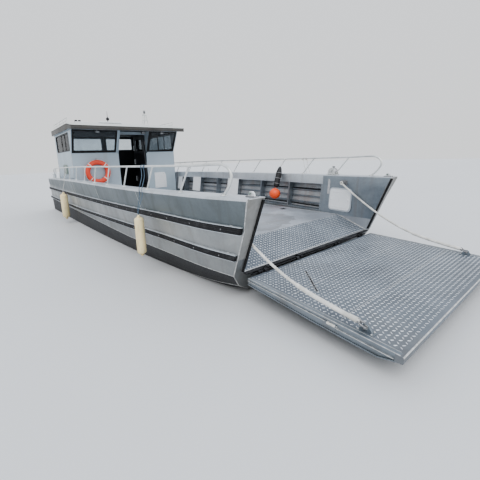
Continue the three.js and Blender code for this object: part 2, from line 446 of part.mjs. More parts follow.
const wheelDir = [-Math.cos(WHEEL.tilt * Math.PI / 180), 0, Math.sin(WHEEL.tilt * Math.PI / 180)];
{
  const ring = []; for (let i = 0; i < 6; i++) { const t = 2 * Math.PI * i / 6; ring.push([WHEEL.r + 14 * Math.cos(t), 14 * Math.sin(t)]); }
  ring.push(ring[0]);
  let w = turned(ring, [0, 0, 0], [0, 0, 1], 20);
  w = w.add(rod([0, 0, -22], [0, 0, 16], 40, 12));
  for (let i = 0; i < 3; i++) { const t = 2 * Math.PI * i / 3 + Math.PI / 2; w = w.add(rod([0, 0, 0], [WHEEL.r * Math.cos(t), WHEEL.r * Math.sin(t), 0], 9, 8)); }
  w = w.rotate([0, -(90 - WHEEL.tilt), 0]).translate([WHEEL.x, WHEEL.y, WHEEL.z]);
  put('steering_wheel', w, M.dark);
}

// roof gear
const RT = ROOF.z1;
{
  const rr = [];
  const zl = RT + 60, zh = RT + 140, yb = 1.165 * U, xs = [-5.22, -5.62, -6.02, -6.42, -6.82].map(v => v * U);
  for (const z of [zl, zh]) rr.push(rod([xs[0] + 30, yb, z], [xs[4] - 30, yb, z], 11, 8));
  for (const x of xs) { rr.push(rod([x, yb, RT - 45], [x, yb, zh], 9, 8)); }
  const rk = unite(rr);
  const cut = m => m.subtract(prism('yz', [[-2000, RT - 80], [2000, RT - 80], [2000, RT - 40], [ROOF.halfW, RT - 40 + 0.6], [ROOF.halfW - 0.09 * U, RT - 5.2], [0, RT + 15], [-ROOF.halfW + 0.09 * U, RT - 5.2], [-2000, RT - 40]], -11000, 0));
  put('roof_rail_port', cut(rk), M.tube);
  put('roof_rail_starboard', mirrorY(cut(rk)), M.tube);
}
{
  const x = -5.30 * U, y = 0.50 * U, z = RT + 12, w = 110, h = 400;
  let m = unite([rod([x, y - w, z + 1], [x, y - 50, z + h - 60], 14, 8), rod([x, y + w, z + 1], [x, y + 50, z + h - 60], 14, 8), rod([x - 130, y, z + 1], [x, y, z + h * 0.55], 12, 8),
    rod([x, y - 82, z + h * 0.42], [x, y + 82, z + h * 0.42], 12, 8), rod([x, y, z + h * 0.42], [x, y, z + h + 10], 14, 8), rod([x, y - 70, z + h - 62], [x, y + 70, z + h - 62], 20, 8), rod([x, y, z + h - 10], [x, y, z + h + 75], 36, 12)]);
  put('light_mast', m, M.tube);
}
put('roof_locker', unite([box(-5.95 * U, -5.30 * U, -1.00 * U, -0.74 * U, RT + 8, RT + 62), box(-5.50 * U, -5.42 * U, -0.975 * U, -0.86 * U, RT + 60, RT + 74),
  ...[-0.952, -0.884].map(k => rod([-5.46 * U, k * U, RT + 70], [-5.46 * U, k * U, RT + 125], 38, 12))]), M.roof);
put('roof_hatch', unite([box(-5.60 * U, -5.105 * U, -0.56 * U, -0.10 * U, RT + 14.5, RT + 62), rod([-5.40 * U, -0.32 * U, RT + 60], [-5.40 * U, -0.32 * U, RT + 150], 12, 8),
  turned([[0, -52], [34, -38], [48, 0], [36, 36], [0, 52]], [-5.40 * U, -0.32 * U, RT + 185], [0, 0, 1], 12), rod([-5.40 * U, -0.32 * U, RT + 220], [-5.40 * U, -0.32 * U, RT + 420], 6, 6)]), M.roof);
put('flood_lights', (() => {
  const x = -4.84 * U, z = roofUnder(x + 14) - GAP, parts = [box(x - 14, x + 14, -0.78 * U, 0.74 * U, z - 12, z)];
  for (const y of [-0.72 * U, 0.24 * U, 0.68 * U]) parts.push(rod([x, y, z - 4], [x, y, z - 34], 12, 8), box(x - 38, x + 34, y - 62, y + 62, z - 92, z - 30));
  return unite(parts);
})(), M.dark);

// ring buoy on the cabin front
{
  const ring = []; for (let i = 0; i < 10; i++) { const t = 2 * Math.PI * i / 10; ring.push([290 + 76 * Math.cos(t), 56 * Math.sin(t)]); }
  ring.push(ring[0]);
  put('life_ring', turned(ring, [CABIN_FRONT_X + 78, -0.700 * U, 0.732 * U], [1, 0, 0], 32), M.orange);
}
// marker buoy that hangs from the port rail on its line, with a black sleeve above it
{
  const x = -1.60 * U, p = (y, z) => [x, y * U, z * U];
  put('marker_buoy', unite([turned([[0, -125], [48, -115], [88, -88], [115, -48], [125, 0], [115, 48], [88, 88], [48, 115], [0, 125]], p(1.05, 0.335), [0, 0, 1], 16),
    rod(p(1.05, 0.335), p(1.082, 0.445), 12, 8), turned([[0, 0], [44, 8], [66, 60], [66, 330], [40, 450], [16, 490], [0, 492]], p(1.077, 0.432), [0, 0.115, 0.35], 14),
    rod(p(1.184, 0.765), p(1.278, 0.872), 8, 8)]), M.orange);
}
for (const f of FENDERS) {
  const { r, len } = f, e = r * 0.7;
  put(f.name, turned([[0, 0], [r * 0.28, 2], [r * 0.55, e * 0.25], [r * 0.88, e * 0.7], [r, e * 1.15], [r, len - e * 1.15], [r * 0.88, len - e * 0.7], [r * 0.55, len - e * 0.25], [r * 0.28, len - 2], [0, len]].map(([a, b]) => [a, b - len]), [f.x, f.y, f.top], [0, 0, 1], 16), M.cream);
}

// transom jets: housing, steering nozzle, reversing bucket
const JX = TRANSOM_X - GAP;
for (const [n, s] of [['starboard', -1], ['port', 1]]) {
  const y = s * JET.y, z = JET.z, pv = JX - JET.pivot;
  const arm = q => box(pv - 24, JX - 10, y - 24, y + 24, z + q * 151, z + q * 168);
  put(`jet_housing_${n}`, unite([turned([[0, 0], [205, 0], [205, 26], [172, 42], [90, 118], [78, 132], [78, JET.pivot - 4], [0, JET.pivot - 4]], [JX, y, z], [-1, 0, 0], 18), arm(1), arm(-1)]), M.steel);
  // nozzle: open tube that turns about an upright axis, with a boss above, below and to each side
  let nz = turned([[118, -45], [134, -45], [134, 60], [108, 200], [92, 200], [118, 60], [118, -45]], [pv, y, z], [-1, 0, 0], 18);
  nz = unite([nz, rod([pv, y, z + 124], [pv, y, z + 145], 24, 10), rod([pv, y, z - 145], [pv, y, z - 124], 24, 10),
    rod([pv - JET.arm, y - 170, z], [pv - JET.arm, y - 112, z], 14, 10), rod([pv - JET.arm, y + 112, z], [pv - JET.arm, y + 170, z], 14, 10)]);
  put(`steering_nozzle_${n}`, nz, M.steel);
  // bucket: curved shell on two arms that swings down behind the nozzle
  const bx = pv - JET.arm, R = JET.bucketR, N = 8;
  const arc = (r, a0, a1) => Array.from({ length: N }, (_, i) => { const t = (a0 + (a1 - a0) * i / (N - 1)) * Math.PI / 180; return [bx - r * Math.cos(t), z + r * Math.sin(t)]; });
  let bk = prism('xz', [...arc(R, 34, 110), ...arc(R - 12, 110, 34)], y - 164, y + 164);
  for (const q of [-1, 1]) {
    const ya = y + q * 164, yb = y + q * 152;
    bk = bk.add(prism('xz', [...arc(R, 34, 110), [bx + 30, z - 10], [bx + 14, z - 30], [bx - 14, z - 30]], Math.min(ya, yb), Math.max(ya, yb))
      .subtract(rod([bx, y + q * 120, z], [bx, y + q * 190, z], 20, 12)));
  }
  put(`reverse_bucket_${n}`, bk, M.steel);
}

// ---------------------------------------------------------------- to the stored frame
boat.position.set(-ORIGIN_X, 0, -BOTTOM_Z);
const craft = new THREE.Group();
craft.name = 'landing_workboat';
craft.add(boat);
craft.updateMatrixWorld(true);
craft.userData = { originX: ORIGIN_X, waterline: WATERLINE_Z - BOTTOM_Z };
export default craft;
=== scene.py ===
# Aluminium landing workboat with a bow ramp: surfaces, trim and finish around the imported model.
# Metres; +X to the bow, +Y to port, +Z up. Tables in U (1.4 m) use the working frame whose zero is
# the deck edge at the ramp hinge; W() and Q() bring them to the stored frame.
import math
import random
import bpy
import bmesh
from mathutils import Vector, Matrix


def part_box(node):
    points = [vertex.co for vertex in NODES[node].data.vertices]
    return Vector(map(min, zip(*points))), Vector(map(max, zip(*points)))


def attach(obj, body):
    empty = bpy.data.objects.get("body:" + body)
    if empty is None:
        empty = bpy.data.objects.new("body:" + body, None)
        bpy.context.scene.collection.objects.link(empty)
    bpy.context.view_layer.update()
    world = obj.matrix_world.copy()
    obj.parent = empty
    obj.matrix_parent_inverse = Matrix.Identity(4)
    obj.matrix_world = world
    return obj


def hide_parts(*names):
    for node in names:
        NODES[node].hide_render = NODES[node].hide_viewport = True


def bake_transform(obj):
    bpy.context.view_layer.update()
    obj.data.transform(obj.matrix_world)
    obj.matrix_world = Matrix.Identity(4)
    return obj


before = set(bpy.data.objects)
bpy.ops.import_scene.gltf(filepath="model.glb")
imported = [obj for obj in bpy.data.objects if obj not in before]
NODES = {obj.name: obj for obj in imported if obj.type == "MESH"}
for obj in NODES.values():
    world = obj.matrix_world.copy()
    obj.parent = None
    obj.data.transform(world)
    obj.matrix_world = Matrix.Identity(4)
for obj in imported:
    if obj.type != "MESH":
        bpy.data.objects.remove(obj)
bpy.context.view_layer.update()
random.seed(7)
rad, cos, sin, pi = math.radians, math.cos, math.sin, math.pi

U, OX, OZ = 1.4, 4.5864, 0.616


def W(x, y, z):
    """working frame in U"""
    return Vector((x * U + OX, y * U, z * U + OZ))


def Q(x, y, z):
    """working frame in millimetres"""
    return Vector((x / 1000 + OX, y / 1000, z / 1000 + OZ))


WATER = OZ - 0.25 * U

# ------------------------------------------------------------------ camera
def camera():
    yaw, pitch, roll = rad(39.148), rad(-10.662), rad(-2.054)
    fw = Vector((-cos(yaw) * cos(pitch), sin(yaw) * cos(pitch), sin(pitch)))
    rt = fw.cross(Vector((0, 0, 1))).normalized()
    up = rt.cross(fw)
    r2, u2 = cos(roll) * rt + sin(roll) * up, -sin(roll) * rt + cos(roll) * up
    data = bpy.data.cameras.new("camera")
    data.sensor_width, data.lens = 36, 299.03 / 480 * 36
    data.shift_y = -(240 - 213) / 480
    data.clip_end = 400
    ob = bpy.data.objects.new("camera", data)
    m = Matrix.Identity(4)
    for i, c in enumerate((r2, u2, -fw, W(1.8169, -2.4841, 0.9483))):
        m[0][i], m[1][i], m[2][i] = c
    ob.matrix_world = m
    bpy.context.scene.collection.objects.link(ob)
    bpy.context.scene.camera = ob


camera()


# ------------------------------------------------------------------ materials
class Mat:
    """Small helper that writes a node material on object coordinates."""

    def __init__(s, name):
        s.m = bpy.data.materials.new(name)
        s.m.use_nodes = True
        s.nt = s.m.node_tree
        s.b = s.nt.nodes["Principled BSDF"]
        s.co = s.nt.nodes.new("ShaderNodeTexCoord").outputs["Object"]

    def set(s, **kw):
        for k, v in kw.items():
            s.b.inputs[k.replace("_", " ")].default_value = v
        return s

    def n(s, kind, *links, **props):
        node = s.nt.nodes.new("ShaderNode" + kind)
        for k, v in props.items():
            setattr(node, k, v)
        for i, v in enumerate(links):
            s.put(v, node.inputs[i])
        return node

    def put(s, v, sock):
        if isinstance(v, bpy.types.NodeSocket):
            s.nt.links.new(v, sock)
        elif v is not None:
            sock.default_value = v

    def to(s, name, v):
        s.put(v, s.b.inputs[name])
        return s

    def mapped(s, scale, loc=(0, 0, 0), rot=(0, 0, 0)):
        mp = s.n("Mapping", s.co)
        mp.inputs["Scale"].default_value = scale
        mp.inputs["Location"].default_value = loc
        mp.inputs["Rotation"].default_value = rot
        return mp.outputs[0]

    def noise(s, scale, detail=4, rough=0.55, dist=0.0, loc=(0, 0, 0), vec=None, rot=(0, 0, 0)):
        if not hasattr(scale, "__len__"):
            scale = (scale,) * 3
        t = s.n("TexNoise")
        s.nt.links.new(vec or s.mapped(scale, loc, rot), t.inputs["Vector"])
        t.inputs["Scale"].default_value = 1
        t.inputs["Detail"].default_value = detail
        t.inputs["Roughness"].default_value = rough
        t.inputs["Distortion"].default_value = dist
        return t.outputs[0]

    def voro(s, scale, feature="F1", rand=1.0, loc=(0, 0, 0)):
        if not hasattr(scale, "__len__"):
            scale = (scale,) * 3
        t = s.n("TexVoronoi", feature=feature)
        s.nt.links.new(s.mapped(scale, loc), t.inputs["Vector"])
        t.inputs["Scale"].default_value = 1
        t.inputs["Randomness"].default_value = rand
        return t.outputs[0]

    def ramp(s, fac, *stops):
        r = s.n("ValToRGB", fac)
        e = r.color_ramp.elements
        while len(e) < len(stops):
            e.new(0.5)
        for el, (p, c) in zip(e, stops):
            el.position = p
            el.color = (c, c, c, 1) if not hasattr(c, "__len__") else (*c, 1)
        return r.outputs[0]

    def mix(s, fac, a, b, blend="MIX"):
        r = s.n("MixRGB", blend_type=blend)
        for v, k in ((fac, 0), (a, 1), (b, 2)):
            if hasattr(v, "__len__") and not isinstance(v, bpy.types.NodeSocket) and len(v) == 3:
                v = (*v, 1)
            s.put(v, r.inputs[k])
        return r.outputs[0]

    def math(s, op, a, b=None, clamp=False):
        r = s.n("Math", operation=op, use_clamp=clamp)
        s.put(a, r.inputs[0])
        s.put(b, r.inputs[1])
        return r.outputs[0]

    def axis(s, k):
        x = s.n("SeparateXYZ", s.co)
        return x.outputs[k]

    def span(s, v, a, b, lo=0.0, hi=1.0):
        r = s.n("MapRange")
        for k, x in (("Value", v), ("From Min", a), ("From Max", b), ("To Min", lo), ("To Max", hi)):
            s.put(x, r.inputs[k])
        return r.outputs[0]

    def bump(s, height, strength=0.2, distance=0.01, under=None):
        b = s.n("Bump")
        b.inputs["Strength"].default_value = strength
        b.inputs["Distance"].default_value = distance
        s.nt.links.new(height, b.inputs["Height"])
        if under is not None:
            s.nt.links.new(under, b.inputs["Normal"])
        return b.outputs[0]


def alloy(name, dark, light, metal=0.85, rough=(0.36, 0.56), stain=0.5, wave=0.25, tint=(0.20, 0.17, 0.12), waterline_dark=0.6, bands=False):
    """Bare plate: cloudy oxide, run-off streaks, plate waves between the frames, darker towards the waterline."""
    m = Mat(name).set(Metallic=metal)
    cloud = m.noise(0.9, 6, 0.6, 0.6)
    fine = m.noise(26, 5, 0.65)
    streak = m.noise((5.5, 5.5, 0.45), 5, 0.62, 0.4, loc=(3, 1, 2))
    base = m.mix(m.ramp(cloud, (0.32, 0.0), (0.68, 1.0)), dark, light)
    base = m.mix(m.math("MULTIPLY", m.ramp(streak, (0.50, 0.0), (0.70, 1.0)), stain), base, tint)
    base = m.mix(0.35, base, m.mix(fine, (0.25, 0.25, 0.25), (0.78, 0.78, 0.78)), "OVERLAY")
    # darker towards the waterline: a noisy mask from 0.34 m above it down to it, mixed to near-black
    low = m.math("MULTIPLY", m.span(m.axis(2), WATER + 0.34, WATER - 0.02), m.math("MULTIPLY", m.ramp(m.noise((2.2, 2.2, 6), 5), (0.3, 0.45), (0.7, 1.0)), waterline_dark), clamp=True)
    base = m.mix(low, base, (0.055, 0.055, 0.038))
    if bands:                             # the three plate strips reflect different things
        h = m.math("ADD", m.axis(2), m.span(m.noise((0.25, 0.25, 3), 3, 0.5), 0.3, 0.7, -0.02, 0.02))
        col = m.ramp(m.span(h, OZ - 0.05, OZ + 0.95), (0.0, (0.78, 0.755, 0.73)), (0.27, (0.76, 0.73, 0.70)), (0.335, (0.90, 0.86, 0.82)), (0.58, (0.93, 0.90, 0.87)), (0.66, (0.43, 0.455, 0.455)), (1.0, (0.475, 0.505, 0.515)))
        base = m.mix(1.0, base, col, "MULTIPLY")
    m.to("Base Color", base)
    m.to("Roughness", m.span(m.math("ADD", m.math("MULTIPLY", fine, 0.5), m.math("MULTIPLY", streak, 0.5)), 0.3, 0.7, *rough))
    brushed = m.noise((260, 260, 5), 3, 0.6)
    nrm = m.bump(m.noise((1.35, 1.35, 1.9), 2, 0.4), wave, 0.03)
    nrm = m.bump(brushed, 0.05, 0.002, nrm)
    m.to("Normal", m.bump(fine, 0.10, 0.003, nrm))
    return m.m


def tread_base(name):
    m = Mat(name).set(Metallic=0.75)
    a, b = m.noise(1.7, 6, 0.62, 0.5), m.noise(60, 4, 0.6)
    col = m.mix(m.ramp(a, (0.3, 0.0), (0.7, 1.0)), (0.17, 0.19, 0.215), (0.29, 0.32, 0.355))
    col = m.mix(m.ramp(m.noise(0.8, 5, 0.6, 1.2, loc=(2, 5, 1)), (0.55, 0.0), (0.78, 0.4)), col, (0.20, 0.17, 0.13))
    m.to("Base Color", m.mix(0.3, col, m.mix(b, (0.3, 0.3, 0.3), (0.75, 0.75, 0.75)), "OVERLAY"))
    m.to("Roughness", m.span(a, 0.3, 0.7, 0.42, 0.60))
    m.to("Normal", m.bump(b, 0.16, 0.002))
    return m.m


def tread_rib(name):
    m = Mat(name).set(Metallic=0.85)
    a, b = m.noise(2.3, 5, 0.6, 0.4), m.noise(90, 3, 0.6)
    # ribs far lighter than the plate: painted highlight of the sky on the rib tops
    col = m.mix(m.ramp(a, (0.3, 0.0), (0.72, 1.0)), (0.60, 0.62, 0.64), (0.88, 0.90, 0.92))
    m.to("Base Color", m.mix(m.ramp(b, (0.55, 0.0), (0.8, 0.5)), col, (0.42, 0.42, 0.42)))
    m.to("Roughness", m.span(b, 0.3, 0.7, 0.26, 0.44))
    m.to("Normal", m.bump(b, 0.1, 0.001))
    return m.m


def deck_plate(name):
    m = Mat(name).set(Metallic=0.45)
    a, b, c = m.noise(1.1, 6, 0.6, 0.8), m.noise(45, 5, 0.65), m.noise((3.5, 0.9, 1), 5, 0.6, loc=(4, 2, 0))
    col = m.mix(m.ramp(a, (0.3, 0.0), (0.7, 1.0)), (0.335, 0.355, 0.385), (0.50, 0.525, 0.56))
    col = m.mix(m.ramp(c, (0.52, 0.0), (0.75, 0.35)), col, (0.22, 0.19, 0.15))
    # mud left round a puddle near the bow
    x, y = m.axis(0), m.axis(1)
    w = m.noise(2.4, 6, 0.68, 0.5, loc=(1, 7, 3))
    dx = m.math("DIVIDE", m.math("SUBTRACT", x, OX - 0.92 * U), 0.62)
    dy = m.math("DIVIDE", m.math("SUBTRACT", y, -0.12 * U), 0.95)
    d = m.math("SQRT", m.math("ADD", m.math("MULTIPLY", dx, dx), m.math("MULTIPLY", dy, dy)))
    d = m.math("ADD", d, m.math("MULTIPLY", m.math("SUBTRACT", w, 0.5), 1.1))
    mud = m.ramp(d, (0.20, 0.05), (0.62, 0.14), (0.98, 0.34), (1.12, 0.25), (1.60, 0.0))
    col = m.mix(mud, col, (0.105, 0.088, 0.068))
    m.to("Base Color", m.mix(0.3, col, m.mix(b, (0.3, 0.3, 0.3), (0.75, 0.75, 0.75)), "OVERLAY"))
    m.to("Roughness", m.span(a, 0.3, 0.7, 0.45, 0.68))
    m.to("Normal", m.bump(b, 0.2, 0.003))
    return m.m


def painted(name, dark, light, rough=(0.34, 0.5), dirt=(0.36, 0.33, 0.27), amount=0.35, metal=0.0, peel=0.05, streak=(3.2, 3.2, 0.5)):
    """Satin paint with orange peel, chalky patches and faint run-off."""
    m = Mat(name).set(Metallic=metal)
    a, b, c = m.noise(1.4, 5, 0.6, 0.4), m.noise(140, 3, 0.5), m.noise(streak, 5, 0.62, loc=(5, 2, 1))
    col = m.mix(a, dark, light)
    col = m.mix(m.math("MULTIPLY", m.ramp(c, (0.52, 0.0), (0.76, 1.0)), amount), col, dirt)
    m.to("Base Color", col)
    m.to("Roughness", m.span(c, 0.3, 0.7, *rough))
    m.to("Normal", m.bump(b, peel, 0.001, m.bump(a, 0.05, 0.01)))
    return m.m


def rubber(name, base=(0.012, 0.012, 0.014), scuff=(0.075, 0.075, 0.08), rough=(0.5, 0.8)):
    m = Mat(name).set(Metallic=0.0)
    a, b, c = m.noise(7, 6, 0.65, 0.3), m.noise(80, 4, 0.6), m.noise((0.8, 12, 30), 4, 0.6)
    col = m.mix(m.ramp(a, (0.50, 0.0), (0.72, 0.7)), base, scuff)
    col = m.mix(m.ramp(c, (0.62, 0.0), (0.74, 0.35)), col, (0.16, 0.155, 0.145))
    m.to("Base Color", col)
    m.to("Roughness", m.span(b, 0.3, 0.7, *rough))
    m.to("Normal", m.bump(b, 0.25, 0.002))
    return m.m


def tube_metal(name, dark=(0.46, 0.47, 0.48), light=(0.70, 0.71, 0.72), rough=(0.26, 0.44), metal=0.9):
    m = Mat(name).set(Metallic=metal)
    a, b = m.noise(5, 5, 0.6), m.noise((120, 120, 120), 3, 0.6)
    m.to("Base Color", m.mix(m.ramp(a, (0.3, 0.0), (0.7, 1.0)), dark, light))
    m.to("Roughness", m.span(b, 0.3, 0.7, *rough))
    m.to("Normal", m.bump(b, 0.08, 0.001))
    return m.m


def weld_metal(name):
    m = Mat(name).set(Metallic=0.85)
    a, b = m.noise(24, 5, 0.6), m.voro(190)
    m.to("Base Color", m.mix(m.ramp(a, (0.35, 0.0), (0.65, 1.0)), (0.50, 0.50, 0.49), (0.78, 0.78, 0.77)))
    m.to("Roughness", m.span(a, 0.3, 0.7, 0.30, 0.48))
    m.to("Normal", m.bump(b, 0.35, 0.002))
    return m.m


def vinyl(name):
    """Inflated fender skin: cream, chafed and grimy towards the waterline."""
    m = Mat(name).set(Metallic=0.0)
    a, b, c = m.noise(5, 6, 0.65, 0.6), m.noise(70, 4, 0.6), m.noise((9, 9, 2.2), 5, 0.6)
    col = m.mix(a, (0.82, 0.69, 0.38), (0.95, 0.84, 0.56))
    col = m.mix(m.ramp(c, (0.50, 0.0), (0.72, 0.65)), col, (0.40, 0.31, 0.16))
    low = m.math("MULTIPLY", m.span(m.axis(2), 0.80, 0.42), m.ramp(a, (0.35, 0.15), (0.65, 0.7)), clamp=True)
    m.to("Base Color", m.mix(low, col, (0.42, 0.36, 0.20)))
    m.to("Roughness", m.span(b, 0.3, 0.7, 0.34, 0.55))
    m.to("Normal", m.bump(b, 0.12, 0.002, m.bump(a, 0.1, 0.004)))
    m.set(Subsurface_Weight=0.05)
    return m.m


def plastic(name, dark, light, rough=(0.35, 0.55), grain=150, bumps=0.12, wear=None):
    m = Mat(name).set(Metallic=0.0)
    a, b = m.noise(6, 6, 0.62, 0.4), m.noise(grain, 3, 0.6)
    col = m.mix(a, dark, light)
    if wear:
        col = m.mix(m.ramp(m.noise(15, 6, 0.7), (0.58, 0.0), (0.74, 0.6)), col, wear)
    m.to("Base Color", col)
    m.to("Roughness", m.span(b, 0.3, 0.7, *rough))
    m.to("Normal", m.bump(b, bumps, 0.001))
    return m.m


def rope_mat(name, dark, light):
    m = Mat(name).set(Metallic=0.0, Roughness=0.85)
    a, b = m.noise(9, 5, 0.6), m.noise((420, 420, 420), 3, 0.6)
    m.to("Base Color", m.mix(m.ramp(a, (0.35, 0.0), (0.7, 1.0)), dark, light))
    m.to("Normal", m.bump(b, 0.5, 0.001))
    m.set(Sheen_Weight=0.2)
    return m.m


def leather(name):
    m = Mat(name).set(Metallic=0.0)
    a, b = m.noise(4, 4, 0.6), m.voro(260)
    m.to("Base Color", m.mix(a, (0.020, 0.022, 0.026), (0.045, 0.047, 0.053)))
    m.to("Roughness", m.span(a, 0.3, 0.7, 0.42, 0.6))
    m.to("Normal", m.bump(b, 0.3, 0.001))
    return m.m


def glass(name, tint=(0.30, 0.34, 0.36), ior=1.45):
    m = Mat(name).set(Metallic=0.0, IOR=ior, Transmission_Weight=1.0)
    a = m.noise((2.5, 2.5, 5), 5, 0.6)
    m.to("Base Color", m.mix(a, tuple(t * 0.9 for t in tint), tuple(t * 1.08 for t in tint)))
    m.to("Roughness", m.ramp(m.noise(3.5, 6, 0.7, 0.8), (0.50, 0.015), (0.85, 0.10)))
    m.to("Normal", m.bump(m.noise(1.6, 1, 0.4), 0.02, 0.01))
    return m.m


def clear_lens(name):
    m = Mat(name).set(Metallic=0.0, Coat_Weight=1.0, Coat_Roughness=0.04)
    v = m.voro((70, 70, 70), rand=0.1)
    m.to("Base Color", m.mix(v, (0.17, 0.18, 0.19), (0.36, 0.37, 0.38)))
    m.to("Roughness", m.span(v, 0.0, 0.8, 0.12, 0.3))
    m.to("Normal", m.bump(v, 0.5, 0.002))
    return m.m


MT = {
    "side": alloy("hull_side_alloy", (0.335, 0.362, 0.380), (0.515, 0.548, 0.572), stain=0.34, tint=(0.30, 0.28, 0.25), bands=True),
    "bow": alloy("bow_face_alloy", (0.32, 0.318, 0.31), (0.44, 0.435, 0.42), metal=0.45, rough=(0.45, 0.62), stain=0.35, waterline_dark=0.2),
    "inner": alloy("inner_alloy", (0.25, 0.285, 0.320), (0.375, 0.415, 0.455), stain=0.35, tint=(0.26, 0.22, 0.18), wave=0.15),
    "cap": alloy("gunwale_alloy", (0.50, 0.535, 0.57), (0.70, 0.735, 0.77), metal=0.6, rough=(0.32, 0.5), stain=0.2, wave=0.1),
    # bays: lighter than the inner plate alloy it copies, painted light for the bays in shade under the beam, with warm
    # run-off stains
    "bays": alloy("bay_alloy", (0.34, 0.355, 0.37), (0.54, 0.56, 0.58), metal=0.5, stain=0.42, tint=(0.36, 0.27, 0.22), wave=0.5, waterline_dark=0.1),
    # near-black from the knuckle down to the keel
    "bottom": rubber("near_black_bottom", (0.018, 0.019, 0.022), (0.045, 0.046, 0.046), (0.45, 0.7)),
    "deck": deck_plate("deck_plate"),
    "tread": tread_base("tread_plate"),
    "rib": tread_rib("tread_ribs"),
    "weld": weld_metal("weld_bead"),
    "rubber": rubber("black_rubber"),
    "tube": tube_metal("rail_tube", (0.62, 0.63, 0.62), (0.84, 0.85, 0.83), (0.32, 0.5), 0.55),
    "steel": tube_metal("dull_steel", (0.24, 0.24, 0.245), (0.42, 0.42, 0.425), (0.35, 0.55)),
    "paint": painted("cabin_paint", (0.37, 0.445, 0.505), (0.48, 0.555, 0.61)),
    "white": painted("white_paint", (0.70, 0.72, 0.74), (0.80, 0.81, 0.82), amount=0.2),
    "roof": painted("roof_paint", (0.58, 0.59, 0.57), (0.70, 0.71, 0.69), amount=0.3, streak=(2, 2, 2)),
    # fascia: near-black base on bare alloy, a painted dark reflection
    "fascia": alloy("roof_fascia_alloy", (0.085, 0.082, 0.078), (0.150, 0.146, 0.140), stain=0.3, wave=0.1, waterline_dark=0.0),
    # near-black sheet colour for the wheelhouse inside: painted shade
    "lining": painted("interior_painted_shade", (0.030, 0.032, 0.036), (0.048, 0.050, 0.054), (0.5, 0.7), (0.02, 0.02, 0.02), 0.3),
    # door: near-black, painted shade of the leaf inside the cabin, with dirt streaks
    "door": painted("door_paint", (0.022, 0.023, 0.028), (0.040, 0.041, 0.047), (0.28, 0.42), (0.09, 0.085, 0.08), 0.3),
    "gasket": rubber("window_gasket", (0.008, 0.008, 0.009), (0.03, 0.03, 0.03), (0.4, 0.6)),
    "glass": glass("tinted_glass", (0.64, 0.70, 0.74)),
    "glass_side": glass("dark_tinted_glass", (0.19, 0.215, 0.235), 1.10),
    "cream": vinyl("cream_vinyl"),
    "orange": plastic("orange_plastic", (0.72, 0.075, 0.042), (0.86, 0.135, 0.080), (0.34, 0.5), wear=(0.60, 0.16, 0.10)),
    "buoy": plastic("buoy_orange", (0.90, 0.10, 0.030), (0.98, 0.17, 0.06), (0.3, 0.45)),
    "band": plastic("band_white", (0.62, 0.60, 0.56), (0.82, 0.80, 0.77), (0.5, 0.7)),
    "panel": plastic("white_panel", (0.76, 0.78, 0.80), (0.86, 0.87, 0.88), (0.3, 0.45), wear=(0.55, 0.55, 0.54)),
    "rope": rope_mat("white_rope", (0.60, 0.59, 0.55), (0.86, 0.85, 0.82)),
    "blue": rope_mat("blue_line", (0.075, 0.125, 0.18), (0.17, 0.245, 0.32)),
    "black": plastic("black_plastic", (0.012, 0.012, 0.014), (0.028, 0.028, 0.030), (0.4, 0.6)),
    "dgrey": plastic("grey_plastic", (0.10, 0.105, 0.11), (0.16, 0.165, 0.17), (0.4, 0.6)),
    "webbing": rope_mat("grey_webbing", (0.40, 0.40, 0.41), (0.62, 0.62, 0.63)),
    "pin": tube_metal("blackened_steel", (0.035, 0.035, 0.038), (0.075, 0.075, 0.08), (0.45, 0.62)),
    "cast": painted("jet_casting", (0.20, 0.205, 0.21), (0.30, 0.305, 0.31), (0.45, 0.65), (0.10, 0.09, 0.07), 0.5, 0.5, 0.25),
    "seat": leather("seat_vinyl"),
    "lens": clear_lens("lamp_lens"),
}


